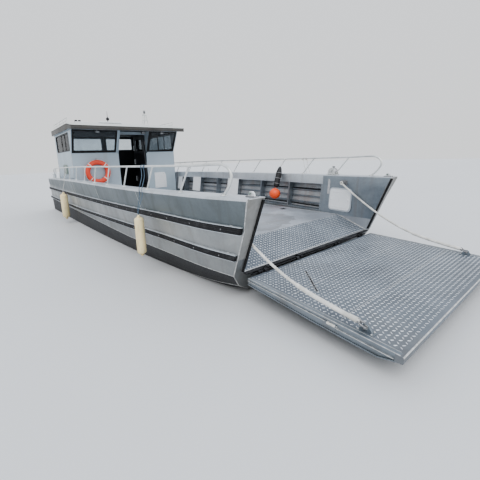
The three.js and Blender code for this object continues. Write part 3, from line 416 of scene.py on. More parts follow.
# ------------------------------------------------------------------ mesh building
class Geo:
    """Collects vertices and faces with a material index each."""

    def __init__(s):
        s.v, s.f, s.mi, s.sm = [], [], [], []

    def add(s, v, f, m=0, smooth=True):
        o = len(s.v)
        s.v += [tuple(p) for p in v]
        s.f += [tuple(i + o for i in q) for q in f]
        s.mi += list(m) if hasattr(m, "__len__") else [m] * len(f)
        s.sm += [smooth] * len(f)
        return s

    def rings(s, rings, closed=True, caps=True, loop=False, m=0, smooth=True, cap_m=None):
        n, R, f, mi = len(rings[0]), len(rings), [], []
        for i in range(R if loop else R - 1):
            a, b = i * n, ((i + 1) % R) * n
            for j in range(n if closed else n - 1):
                k = (j + 1) % n
                f.append((a + j, a + k, b + k, b + j))
                mi.append(m[j] if hasattr(m, "__len__") else m)
        if caps and not loop and closed:
            f += [tuple(range(n))[::-1], tuple((R - 1) * n + j for j in range(n))]
            c = cap_m if cap_m is not None else (m if not hasattr(m, "__len__") else m[0])
            mi += [c, c]
        return s.add([p for r in rings for p in r], f, mi, smooth)

    def hexa(s, c, m=0):
        """eight corners: four below in order, then the four above them"""
        return s.add(c, [(0, 3, 2, 1), (4, 5, 6, 7), (0, 1, 5, 4), (1, 2, 6, 5), (2, 3, 7, 6), (3, 0, 4, 7)], m, False)

    def box(s, lo, hi, m=0):
        (a, b, c), (d, e, f) = lo, hi
        return s.hexa([(a, b, c), (d, b, c), (d, e, c), (a, e, c), (a, b, f), (d, b, f), (d, e, f), (a, e, f)], m)

    def obox(s, c, x, y, z, m=0):
        """box at c with half-axis vectors x, y, z"""
        c, x, y, z = map(Vector, (c, x, y, z))
        return s.hexa([c - x - y - z, c + x - y - z, c + x + y - z, c - x + y - z, c - x - y + z, c + x - y + z, c + x + y + z, c - x + y + z], m)

    def prism(s, pts, fn, a, b, m=0, smooth=False):
        return s.rings([[fn(u, v, a) for u, v in pts], [fn(u, v, b) for u, v in pts]], m=m, smooth=smooth)

    def tube(s, pts, r, n=12, loop=False, caps=True, m=0, flat=1.0, side=None):
        pts = [Vector(p) for p in pts]
        N = len(pts)
        rings, ref = [], None
        for i, p in enumerate(pts):
            t = (pts[(i + 1) % N] - pts[i - 1]) if loop else (pts[min(i + 1, N - 1)] - pts[max(i - 1, 0)])
            t.normalize()
            if ref is None:
                ref = Vector(side) if side is not None else (Vector((0, 0, 1)) if abs(t.z) < 0.9 else Vector((1, 0, 0)))
            a = (ref - t * ref.dot(t)).normalized()
            ref = a
            b = t.cross(a)
            rr = r(i / (N - 1)) if callable(r) else r
            rings.append([p + a * rr * cos(2 * pi * k / n) + b * rr * flat * sin(2 * pi * k / n) for k in range(n)])
        return s.rings(rings, caps=caps, loop=loop, m=m)

    def rope(s, pts, r, pitch, strands=3, n=6, m=0, step=None):
        """laid rope: strands wound about the line through pts"""
        pts = resample(pts, step or pitch / 9)
        N = len(pts)
        a0, frames, d = None, [], 0.0
        for i, p in enumerate(pts):
            t = (pts[min(i + 1, N - 1)] - pts[max(i - 1, 0)]).normalized()
            if a0 is None:
                a0 = Vector((0, 0, 1)) if abs(t.z) < 0.9 else Vector((1, 0, 0))
            a = (a0 - t * a0.dot(t)).normalized()
            a0 = a
            if i:
                d += (p - pts[i - 1]).length
            frames.append((p, a, t.cross(a), d))
        for k in range(strands):
            line = []
            for p, a, b, d in frames:
                w = 2 * pi * (d / pitch + k / strands)
                line.append(p + (a * cos(w) + b * sin(w)) * r * 0.5)
            s.tube(line, r * 0.56, n, m=m)
        return s

    def lathe(s, prof, at, axis, n=32, m=0, loop=False):
        """profile of (radius, height) pairs turned about axis through at"""
        z = Vector(axis).normalized()
        x = z.orthogonal().normalized()
        y = z.cross(x)
        at = Vector(at)
        v, f, mi, rows = [], [], [], []
        for r, h in prof:
            if r < 1e-7:
                rows.append([len(v)])
                v.append(at + z * h)
            else:
                rows.append(list(range(len(v), len(v) + n)))
                v += [at + z * h + (x * cos(2 * pi * k / n) + y * sin(2 * pi * k / n)) * r for k in range(n)]
        P = len(rows)
        for i in range(P if loop else P - 1):
            A, B = rows[i], rows[(i + 1) % P]
            mm = m[i] if hasattr(m, "__len__") else m
            for k in range(n):
                l = (k + 1) % n
                if len(A) == 1 and len(B) == 1:
                    continue
                if len(A) == 1:
                    f.append((A[0], B[l], B[k]))
                elif len(B) == 1:
                    f.append((A[k], A[l], B[0]))
                else:
                    f.append((A[k], A[l], B[l], B[k]))
                mi.append(mm)
        return s.add(v, f, mi)

    def dome(s, at, axis, r, h, n=10, m=0):
        """round head, such as a bolt or rivet"""
        return s.lathe([(0, -0.3 * h), (r, -0.3 * h), (r, 0.35 * h), (r * 0.8, 0.8 * h), (0, h)], at, axis, n, m)

    def hexnut(s, at, axis, r, h, m=0):
        return s.lathe([(0, -0.2 * h), (r, -0.2 * h), (r, 0.85 * h), (r * 0.86, h), (0, h)], at, axis, 6, m)


def resample(pts, step):
    pts = [Vector(p) for p in pts]
    d = [0.0]
    for a, b in zip(pts, pts[1:]):
        d.append(d[-1] + (b - a).length)
    n = max(2, int(round(d[-1] / step)) + 1)
    out, j = [], 0
    for i in range(n):
        t = d[-1] * i / (n - 1)
        while j < len(d) - 2 and d[j + 1] < t:
            j += 1
        k = (t - d[j]) / max(1e-9, d[j + 1] - d[j])
        out.append(pts[j].lerp(pts[j + 1], min(1.0, max(0.0, k))))
    return out


def spline(pts, per=8):
    """uniform Catmull-Rom through the points"""
    p = [Vector(q) for q in pts]
    p = [p[0] * 2 - p[1]] + p + [p[-1] * 2 - p[-2]]
    out = []
    for i in range(1, len(p) - 2):
        for k in range(per):
            t = k / per
            a, b, c, d = p[i - 1:i + 3]
            out.append(0.5 * ((2 * b) + (c - a) * t + (2 * a - 5 * b + 4 * c - d) * t * t + (3 * b - a - 3 * c + d) * t ** 3))
    out.append(p[-2])
    return out


def rrect(w, h, r, seg=5, cx=0.0, cy=0.0):
    """outline of a rectangle with round corners"""
    out = []
    for sx, sy, a0 in ((1, 1, 0), (-1, 1, 90), (-1, -1, 180), (1, -1, 270)):
        for i in range(seg + 1):
            a = rad(a0 + 90 * i / seg)
            out.append((cx + sx * (w / 2 - r) + r * cos(a), cy + sy * (h / 2 - r) + r * sin(a)))
    return out


def make(name, geo, mats, body="boat", replaces=(), bevel=0.0, seg=2, angle=32, weld=0.0, subsurf=0, ride=True):
    me = bpy.data.meshes.new(name)
    me.from_pydata(geo.v, [], geo.f)
    me.polygons.foreach_set("material_index", geo.mi)
    me.polygons.foreach_set("use_smooth", [True] * len(geo.f))
    bm = bmesh.new()
    bm.from_mesh(me)
    if weld:
        bmesh.ops.remove_doubles(bm, verts=bm.verts, dist=weld)
    bmesh.ops.recalc_face_normals(bm, faces=bm.faces)
    bm.to_mesh(me)
    bm.free()
    me.set_sharp_from_angle(angle=rad(angle))
    ob = bpy.data.objects.new(name, me)
    bpy.context.scene.collection.objects.link(ob)
    for m in mats:
        me.materials.append(MT[m])
    if bevel:
        b = ob.modifiers.new("edges", "BEVEL")
        b.width, b.segments, b.limit_method, b.angle_limit = bevel, seg, "ANGLE", rad(30)
        b.harden_normals = True
        b.use_clamp_overlap = True
    if subsurf:
        ss = ob.modifiers.new("smooth", "SUBSURF")
        ss.levels = ss.render_levels = subsurf
    if ride:
        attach(ob, body)
    if replaces:
        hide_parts(*replaces)
    return ob


def finish_node(name, mat, bevel=0.0, seg=2, angle=32):
    """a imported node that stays: its material, and softened edges"""
    ob = NODES[name]
    ob.data.materials.clear()
    ob.data.materials.append(MT[mat])
    if bevel:
        b = ob.modifiers.new("edges", "BEVEL")
        b.width, b.segments, b.limit_method, b.angle_limit = bevel, seg, "ANGLE", rad(angle)
        b.harden_normals = True
    return ob


# ------------------------------------------------------------------ hull lines
# hull offsets, one side, in U
ROWS = [
    # x,     capY,  capZ,  s1Y,   s1Z,   s2Y,   s2Z,   kY,    kZ,     lY,    lZ,    bY,    bZ,    capW
    [0.00, 1.160, 0.660, 1.108, 0.427, 1.098, 0.188, 1.092, -0.005, 1.000, -0.13, 0.880, -0.20, 0.180],
    [-0.35, 1.258, 0.657, 1.197, 0.430, 1.158, 0.191, 1.140, -0.006, 1.005, -0.19, 0.875, -0.29, 0.168],
    [-1.00, 1.335, 0.652, 1.272, 0.435, 1.210, 0.198, 1.185, -0.004, 1.030, -0.25, 0.890, -0.39, 0.170],
    [-2.00, 1.385, 0.648, 1.328, 0.425, 1.280, 0.195, 1.248, 0.002, 1.100, -0.29, 0.940, -0.44, 0.155],
    [-4.40, 1.405, 0.635, 1.352, 0.390, 1.318, 0.135, 1.300, 0.030, 1.220, -0.33, 1.020, -0.44, 0.145],
    [-7.44, 1.362, 0.575, 1.345, 0.348, 1.335, 0.113, 1.330, 0.040, 1.315, -0.34, 1.060, -0.44, 0.145],
]
COLS = "x capY capZ s1Y s1Z s2Y s2Z kY kZ lY lZ bY bZ capW".split()
DZ = 0.144
BOW_LEN, CABIN_X, TRANSOM = -0.715, -5.2593, -7.44
# open bays in the bulwarks: start and end x, floor and ceiling z, in U
BAYS = [(-0.76, -1.40, 0.16, 0.53), (-1.42, -2.09, 0.16, 0.53), (-2.11, -2.79, 0.16, 0.53), (-2.81, -3.49, 0.16, 0.52),
        (-3.51, -4.18, 0.16, 0.52), (-4.20, -4.87, 0.16, 0.51), (-4.89, -5.20, 0.16, 0.51)]


class H:
    pass


_cache = {}


def hull_at(x):
    if x in _cache:
        return _cache[x]
    R, i = ROWS, 0
    while i < len(R) - 2 and x < R[i + 1][0]:
        i += 1
    x0, x1 = R[i][0], R[i + 1][0]
    hh, t = x1 - x0, (x - x0) / (x1 - x0)

    def slope(k, c):
        a, b = max(0, k - 1), min(len(R) - 1, k + 1)
        return (R[b][c] - R[a][c]) / (R[b][0] - R[a][0])

    h = H()
    for c, n in enumerate(COLS):
        a, b, ma, mb = R[i][c], R[i + 1][c], slope(i, c) * hh, slope(i + 1, c) * hh
        setattr(h, n, x if c == 0 else (2 * t ** 3 - 3 * t * t + 1) * a + (t ** 3 - 2 * t * t + t) * ma + (-2 * t ** 3 + 3 * t * t) * b + (t ** 3 - t * t) * mb)
    h.bZ = max(h.bZ, -0.44)
    _cache[x] = h
    return h


def rake(x):
    return 0.42 * max(0.0, 1 + x / 0.70)


def plate_y(h, z):
    line = [(h.bZ, h.bY), (h.lZ, h.lY), (h.kZ, h.kY), (h.s2Z - 0.024, h.s2Y), (h.s1Z - 0.028, h.s1Y), (h.capZ - 0.02, h.capY)]
    for (z0, y0), (z1, y1) in zip(line, line[1:]):
        if z <= z1 or z1 == line[-1][0]:
            return y0 + (z - z0) / (z1 - z0) * (y1 - y0)


def at(x, y, z):
    return W(x + rake(x) * z, y, z)


def stations(a, b, step=0.06, extra=()):
    """from a (forward) to b (aft), both kept"""
    n = max(1, int(round((a - b) / step)))
    xs = {round(a + (b - a) * i / n, 5) for i in range(n + 1)} | {e for e in extra if b < e < a}
    return sorted(xs, reverse=True)


# ------------------------------------------------------------------ hull below the deck
def deck_z(x):
    return DZ - 0.001 / U if x <= -0.40 + 0.0028 else DZ * max(0.0, -x) / 0.40


def hull_piece():
    g = Geo()
    rings = []
    for x in stations(0, TRANSOM, 0.06, (-0.40, -0.39)):
        h = hull_at(x)
        z2 = min(h.s2Z - 0.024, DZ - 0.02)
        half = [(plate_y(h, DZ), DZ), (plate_y(h, z2), z2), (h.kY, h.kZ), (h.kY - 0.004, h.kZ - 0.004), (h.lY, h.lZ), (h.bY, h.bZ)]
        ring = [at(x, y, z) for y, z in half] + [at(x, -y, z) for y, z in reversed(half)]
        X = x
        for _ in range(4):
            Z = deck_z(X)
            X = x + rake(x) * Z
        lo = W(X, 1, Z)
        hi = at(x, 1, DZ)
        ring += [Vector((hi.x, -U, hi.z)), Vector((lo.x, -U, lo.z)), lo, hi]
        rings.append(ring)
    #      A-B B-C C-C' C'-D D-E E-E' ...
    m = [0, 0, 0, 1, 1, 1, 1, 1, 0, 0, 0, 2, 2, 2, 2, 0]
    g.rings(rings, m=m, cap_m=0)
    make("hull_plating", g, ["side", "bottom", "deck"], replaces=["hull"], angle=24, weld=1e-5)


def inner_edge(x, kind):
    """y of the inner face at the deck and at the gunwale"""
    h = hull_at(x)
    if kind == "open":
        return h.capY - h.capW - 0.065, h.capY - h.capW
    if kind == "bow":
        return 1.0 + 0.19 * max(0, -x - 0.40), 0.990 - 0.175 * x
    return 1.178, 1.184


def side_ring(x, kind):
    """closed section of one side above the deck plane; kind is box (with an inner plate) or open"""
    h = hull_at(x)
    g = 0.0002
    yb, yt = inner_edge(x, kind)
    z2 = max(h.s2Z - 0.024, DZ + 0.02)
    cy, cz, t = h.capY, h.capZ, 0.0057
    pts = [(plate_y(h, DZ + g), DZ + g), (plate_y(h, z2), z2), (h.s1Y, h.s1Z - 0.028), (plate_y(h, cz - 0.12), cz - 0.12), (plate_y(h, cz - 0.06), cz - 0.06),
           (cy, cz - 0.020), (cy - 0.001, cz - 0.011), (cy - 0.005, cz - 0.004), (cy - 0.011, cz - 0.0008), (cy - 0.017, cz), ((cy + yt) / 2, cz), (yt + 0.008, cz), (yt + 0.002, cz - 0.003), (yt, cz - 0.009), (yt - 0.006, cz - 0.13)]
    if kind == "open":
        zc = cz - 0.13
        pts += [(plate_y(h, zc) - t, zc), (h.s1Y - t, h.s1Z - 0.028), (plate_y(h, z2) - t, z2), (plate_y(h, DZ + g) - t, DZ + g)]
    else:
        a, b = (yt - 0.006, cz - 0.13), (yb, DZ + g)
        pts += [(a[0] + (b[0] - a[0]) * k, a[1] + (b[1] - a[1]) * k) for k in (0.03, 0.36, 0.7, 1.0)]
    return pts


def side_shell(s):
    side = "starboard" if s < 0 else "port"
    g = Geo()
    plan = [(0, BOW_LEN, "bow"), (BOW_LEN, CABIN_X, "open"), (CABIN_X, TRANSOM, "cab")]
    # outer plate, gunwale, inner plate; the box beam over the bays is bright on its inner face too
    for a, b, kind in plan:
        rings = [[at(x, s * y, z) for y, z in side_ring(x, kind)] for x in stations(a, b, 0.055, (-0.12, -0.25, -0.40, -0.55))]
        g.rings(rings, m=[0] * 5 + ([1] * 9 + [2] * 5 if kind == "open" else [1] * 8 + [2] * 6), cap_m=3 if kind == "bow" else 2)
    make(f"side_shell_{side}", g, ["side", "cap", "inner", "bow"], replaces=[f"bow_box_{side}", f"bulwark_{side}", f"side_deck_{side}"], angle=28, weld=1e-5)


def face_y(h, z):
    """inner line of the bulwark frames"""
    zc, yt = h.capZ - 0.13, h.capY - h.capW - 0.006
    yb = h.capY - h.capW - 0.065
    return yb + (yt - yb) * (z - DZ) / (zc - DZ)


def bulwark_frames(s):
    side = "starboard" if s < 0 else "port"
    g = Geo()
    t = 0.0057
    edges = [BOW_LEN] + [e for b in BAYS for e in b[:2]] + [CABIN_X]
    solids = [(edges[i], edges[i + 1]) for i in range(0, len(edges), 2)]

    def section(x, z0=DZ + 0.0002, z1=None, back=0.002):
        h = hull_at(x)
        z1 = h.capZ - 0.13 if z1 is None else z1
        z2 = max(h.s2Z - 0.024, z0 + 0.004)
        mid = [z for z in (z2, h.s1Z - 0.028) if z0 + 0.002 < z < z1 - 0.002]
        out = [(plate_y(h, z) - t + back, z) for z in [z0, *mid, z1]]
        return [(face_y(h, z0), z0), *out, (face_y(h, z1), z1)]

    for a, b in solids:
        if a - b < 0.03:                      # frame: web with an inner flange
            x = (a + b) / 2
            r = [[at(x + d, s * y, z) for y, z in section(x)] for d in (0.0035, -0.0035)]
            g.rings(r, m=0)
            h = hull_at(x)
            z0, z1 = DZ + 0.0002, h.capZ - 0.131
            y0, y1 = face_y(h, z0), face_y(h, z1)
            g.hexa([at(x + i, s * (y + j), z) for y, z in ((y0, z0), (y1, z1)) for i, j in ((0.012, 0), (-0.012, 0), (-0.012, 0.006), (0.012, 0.006))], 0)
        else:                                 # closed panel
            n = max(1, int((a - b) / 0.06))
            g.rings([[at(a + (b - a) * i / n, s * y, z) for y, z in section(a + (b - a) * i / n)] for i in range(n + 1)], m=0)
    # coaming below the bays
    for i, (a, b, z0, z1) in enumerate(BAYS):
        n = 6
        r = [[at(a + (b - a) * k / n, s * y, z) for y, z in section(a + (b - a) * k / n, z1=z0)] for k in range(n + 1)]
        g.rings(r, m=0)
        # stringers along the plate
        for zs in (0.235, 0.325, 0.415):
            r = []
            for k in range(n + 1):
                x = a + (b - a) * k / n
                h = hull_at(x)
                y = plate_y(h, zs) - t
                r.append([at(x, s * yy, zz) for yy, zz in ((y + 0.002, zs), (y - 0.030, zs), (y - 0.030, zs - 0.016), (y - 0.025, zs - 0.016), (y - 0.025, zs - 0.005), (y + 0.002, zs - 0.005))])
            g.rings(r, m=0)
    # skin over the plate inside the bays, in a lighter copy of the plate alloy: painted light in the shade under the
    # beam
    for a, b, z0, z1 in BAYS:
        n, rows = 8, []
        for k in range(n + 1):
            x = a + (b - a) * k / n
            h = hull_at(x)
            zs = sorted({z0, max(z0 + 0.005, h.s2Z - 0.024), h.s1Z - 0.028, z1})
            o = [(plate_y(h, z) - t - 0.0006, z) for z in zs]
            i_ = [(plate_y(h, z) - t + 0.0015, z) for z in reversed(zs)]
            rows.append([at(x, s * y, z) for y, z in o + i_])
        g.rings(rows, m=1)
    make(f"bulwark_frames_{side}", g, ["inner", "bays"], bevel=0.002, seg=1, angle=30)


def hull_line(s, kind, out=0.0, dz=0.0, a=0.0, b=TRANSOM, step=0.08):
    pts = []
    for x in stations(a, b, step):
        h = hull_at(x)
        y, z = {"knuckle": (h.kY, h.kZ), "lower": (h.lY, h.lZ), "flat": (h.bY, h.bZ), "s1": (h.s1Y, h.s1Z - 0.028), "s2": (h.s2Y, h.s2Z - 0.024)}[kind]
        pts.append(at(x, s * (y + out), z + dz))
    return pts


def bead(g, pts, r=0.004, m=0, n=6):
    """weld bead: a low roll with fine steps along its length"""
    pts = resample(pts, 0.03)
    rnd = random.Random(len(pts))
    k = [1 + 0.22 * (rnd.random() - 0.5) for _ in pts]
    g.tube(pts, lambda t: r * k[min(len(k) - 1, int(t * (len(k) - 1)))], n, m=m)


def welds():
    for s in (-1, 1):
        side = "starboard" if s < 0 else "port"
        g = Geo()
        h = hull_at(0.0)
        # corner of the bow post, outer edge, down to the bottom
        col = [(h.capY - 0.004, h.capZ - 0.01), (h.capY, h.capZ - 0.02), (h.s1Y, h.s1Z - 0.028), (h.s2Y, h.s2Z - 0.024), (h.kY, h.kZ), (h.lY, h.lZ), (h.bY, h.bZ)]
        bead(g, [at(0, s * (y + 0.001), z) + Vector((0.001, 0, 0)) for y, z in col], 0.0065)
        bead(g, [at(0, s * y, z) + Vector((0.002, 0, 0)) for y, z in ((0.992, h.capZ - 0.004), (h.capY - 0.01, h.capZ - 0.004))], 0.005)
        bead(g, hull_line(s, "knuckle", 0.001), 0.0048)
        bead(g, hull_line(s, "lower", 0.001), 0.004)
        for x in (-1.30, -2.75, -4.25, -5.80):
            h = hull_at(x)
            bead(g, [at(x, s * (y + 0.0006), z) for y, z in ((h.capY, h.capZ - 0.02), (h.s1Y, h.s1Z - 0.028), (h.s2Y, h.s2Z - 0.024), (h.kY, h.kZ))], 0.0022)
        # transom corner
        h = hull_at(TRANSOM)
        col = [(h.capY - 0.004, h.capZ - 0.01), (h.capY, h.capZ - 0.02), (h.s1Y, h.s1Z - 0.028), (h.kY, h.kZ), (h.lY, h.lZ), (h.bY, h.bZ)]
        bead(g, [at(TRANSOM, s * (y + 0.0005), z) - Vector((0.0005, 0, 0)) for y, z in col], 0.005)
        # deck to bulwark fillet
        bead(g, [at(x, s * 0.9985, DZ + 0.002) for x in stations(-0.42, -5.2, 0.2)], 0.005)
        bead(g, [at(x, s * 0.9985, deck_z(x) + 0.002) for x in stations(-0.01, -0.38, 0.06)], 0.004)
        make(f"weld_beads_{side}", g, ["weld"])


def strakes(s):
    side = "starboard" if s < 0 else "port"
    for which, H_ in (("upper", 0.055), ("lower", 0.048)):
        g, lg = Geo(), Geo()
        o = 0.030
        T = [0, 0.02, 0.06, 0.13, 0.24, 0.30, 0.33, 0.36, 0.45, 0.55, 0.64, 0.67, 0.70, 0.76, 0.87, 0.94, 0.98, 1]
        rings, ledge, foot = [], [], []
        for x in stations(-0.012, TRANSOM + 0.004, 0.06):
            h = hull_at(x)
            zt = h.s1Z if which == "upper" else h.s2Z
            zb = zt - H_
            zm = (zt + zb) / 2
            base = plate_y(h, zm)
            r = [(base - 0.006, zt)]
            for t in T:
                k = abs(2 * t - 1)
                d = o * (1 - k ** 4.5) ** 0.42 if k < 1 else 0
                if t in (0.33, 0.67):
                    d -= 0.0022
                r.append((base + d, zt - t * H_))
            r.append((base - 0.006, zb))
            rings.append([at(x, s * y, z) for y, z in r])
            led = [(base - 0.008, zt + 0.001), (base + 0.025, zt + 0.001), (base + 0.028, zt + 0.003), (base + 0.028, zt + 0.0075), (base + 0.026, zt + 0.0095), (plate_y(h, zt + 0.01) - 0.004, zt + 0.0095)]
            ledge.append([at(x, s * y, z) for y, z in led])
            yb = plate_y(h, zb - 0.006)
            ft = [(base - 0.008, zb - 0.001), (base + 0.020, zb - 0.001), (base + 0.020, zb - 0.006), (yb - 0.004, zb - 0.006)]
            foot.append([at(x, s * y, z) for y, z in ft])
        g.rings(rings, m=0)
        lg.rings(ledge, m=0)
        lg.rings(foot, m=0)
        # weld dots where the ledge is stitched to the plating
        for x in stations(-0.10, -7.3, 0.28):
            h = hull_at(x)
            zt = (h.s1Z if which == "upper" else h.s2Z) + 0.010
            p = [at(x + d, s * (plate_y(h, zt) + 0.001), zt) for d in (0.022, 0.007, -0.007, -0.022)]
            lg.tube(p, lambda t: 0.0055 - 0.004 * abs(2 * t - 1) ** 2, 6, m=1)
        # round-head bolts along the rubber
        for x in stations(-0.16, -7.3, 0.30):
            h = hull_at(x)
            zt = h.s1Z if which == "upper" else h.s2Z
            zm = zt - H_ / 2
            g.dome(at(x, s * (plate_y(h, zm) + o - 0.0008), zm), (0, s, 0), 0.010, 0.004, 8, 1)
        make(f"strake_{which}_rubber_{side}", g, ["rubber", "steel"], replaces=[f"strake_{which}_{side}"], angle=35)
        make(f"strake_{which}_ledge_{side}", lg, ["cap", "weld"], bevel=0.0015, seg=1, angle=30)


# ------------------------------------------------------------------ tread plate
def rib(g, c, u, v, n, L=0.0175, Wd=0.0068, h=0.0032, m=0):
    """one raised lozenge: pointed lens outline, rounded crown"""
    out = [(-1, 0), (-0.6, 0.72), (0, 1), (0.6, 0.72), (1, 0), (0.6, -0.72), (0, -1), (-0.6, -0.72)]
    lo = [c + u * (a * L) + v * (b * Wd) - n * 0.001 for a, b in out]
    hi = [c + u * (a * L * 0.72) + v * (b * Wd * 0.45) + n * h for a, b in out]
    g.add(lo + hi, [(i, (i + 1) % 8, 8 + (i + 1) % 8, 8 + i) for i in range(8)] + [tuple(range(8, 16))], m)


def tread_field(g, O, eu, ev, n, len_u, half_v, pitch, m=0, taper=0.0):
    nu = int(len_u / pitch)
    p0 = (len_u - nu * pitch) / 2 + pitch / 2
    for i in range(nu):
        u = p0 + i * pitch
        hv = half_v + taper * u
        nv = int(2 * hv / pitch)
        for j in range(nv):
            v = (j - (nv - 1) / 2) * pitch
            a = 1 if (i + j) % 2 else -1
            d = (eu + ev * a).normalized()
            rib(g, O + eu * u + ev * v, d, n.cross(d), n, m=m)


def apron():
    g = Geo()
    a, b = W(-0.40, 0, DZ - 0.001 / U), W(0, 0, 0)
    eu = (b - a).normalized()
    ev = Vector((0, 1, 0))
    n = eu.cross(ev).normalized()
    if n.z < 0:
        n = -n
    L = (b - a).length
    tread_field(g, a + n * 0.004, eu, ev, n, L - 0.012, 1.375, 0.0445)
    make("apron_tread_ribs", g, ["rib"], angle=80)
    g = Geo()
    g.obox(a.lerp(b, 0.5) + n * 0.002, eu * (L / 2 - 0.002), ev * 1.398, n * 0.0025, 0)
    # edge flats at both sides and along the hinge edge
    for s in (-1, 1):
        g.obox(a.lerp(b, 0.5) + ev * s * 1.388 + n * 0.005, eu * (L / 2 - 0.004), ev * 0.010, n * 0.003, 1)
    g.obox(b - eu * 0.010 + n * 0.0045, eu * 0.009, ev * 1.39, n * 0.0035, 1)
    make("apron_tread_plate", g, ["tread", "weld"], bevel=0.0015, seg=1)
    # seams and lashing points of the deck
    g = Geo()
    for x in (-1.62, -2.86, -4.10):
        bead(g, [W(x, -0.995, DZ - 0.0004), W(x, 0.995, DZ - 0.0004)], 0.003)
    bead(g, [W(-0.405, -0.995, DZ - 0.0002), W(-0.405, 0.995, DZ - 0.0002)], 0.0045)
    bead(g, [W(-0.41, 0.0, DZ - 0.0004), W(-5.2, 0.0, DZ - 0.0004)], 0.0026)
    make("deck_seams", g, ["weld"])
    g = Geo()
    for x in (-1.25, -2.45, -3.65, -4.75):
        for y in (-0.86, 0.86):
            c = W(x, y, DZ - 0.001 / U)
            g.lathe([(0.0, 0.0015), (0.046, 0.0015), (0.062, 0.004), (0.070, 0.004), (0.072, 0.0), (0.072, -0.004), (0, -0.004)], c, (0, 0, 1), 28, 0)
            g.lathe([(0, 0.0005), (0.044, 0.0005), (0.044, 0.0022), (0, 0.0022)], c, (0, 0, 1), 24, 1)
            g.tube([c + Vector((0, -0.036, 0.008)), c + Vector((0, -0.012, 0.011)), c + Vector((0, 0.012, 0.011)), c + Vector((0, 0.036, 0.008))], 0.0065, 8, m=0)
    make("deck_lashing_pots", g, ["steel", "black"])


# ------------------------------------------------------------------ ramp
RAMP_LEN, RAMP_T, SLOPE = 1.715, 0.105, rad(2.1)
HINGE = Q(42, 0, -35)


def R(s_, y, t):
    """ramp frame, metres: along, across, up"""
    return Vector((0.087 + s_ * cos(SLOPE) + t * sin(SLOPE) + OX, y, -0.042 - s_ * sin(SLOPE) + t * cos(SLOPE) + OZ))


RU, RN = R(1, 0, 0) - R(0, 0, 0), R(0, 0, 1) - R(0, 0, 0)


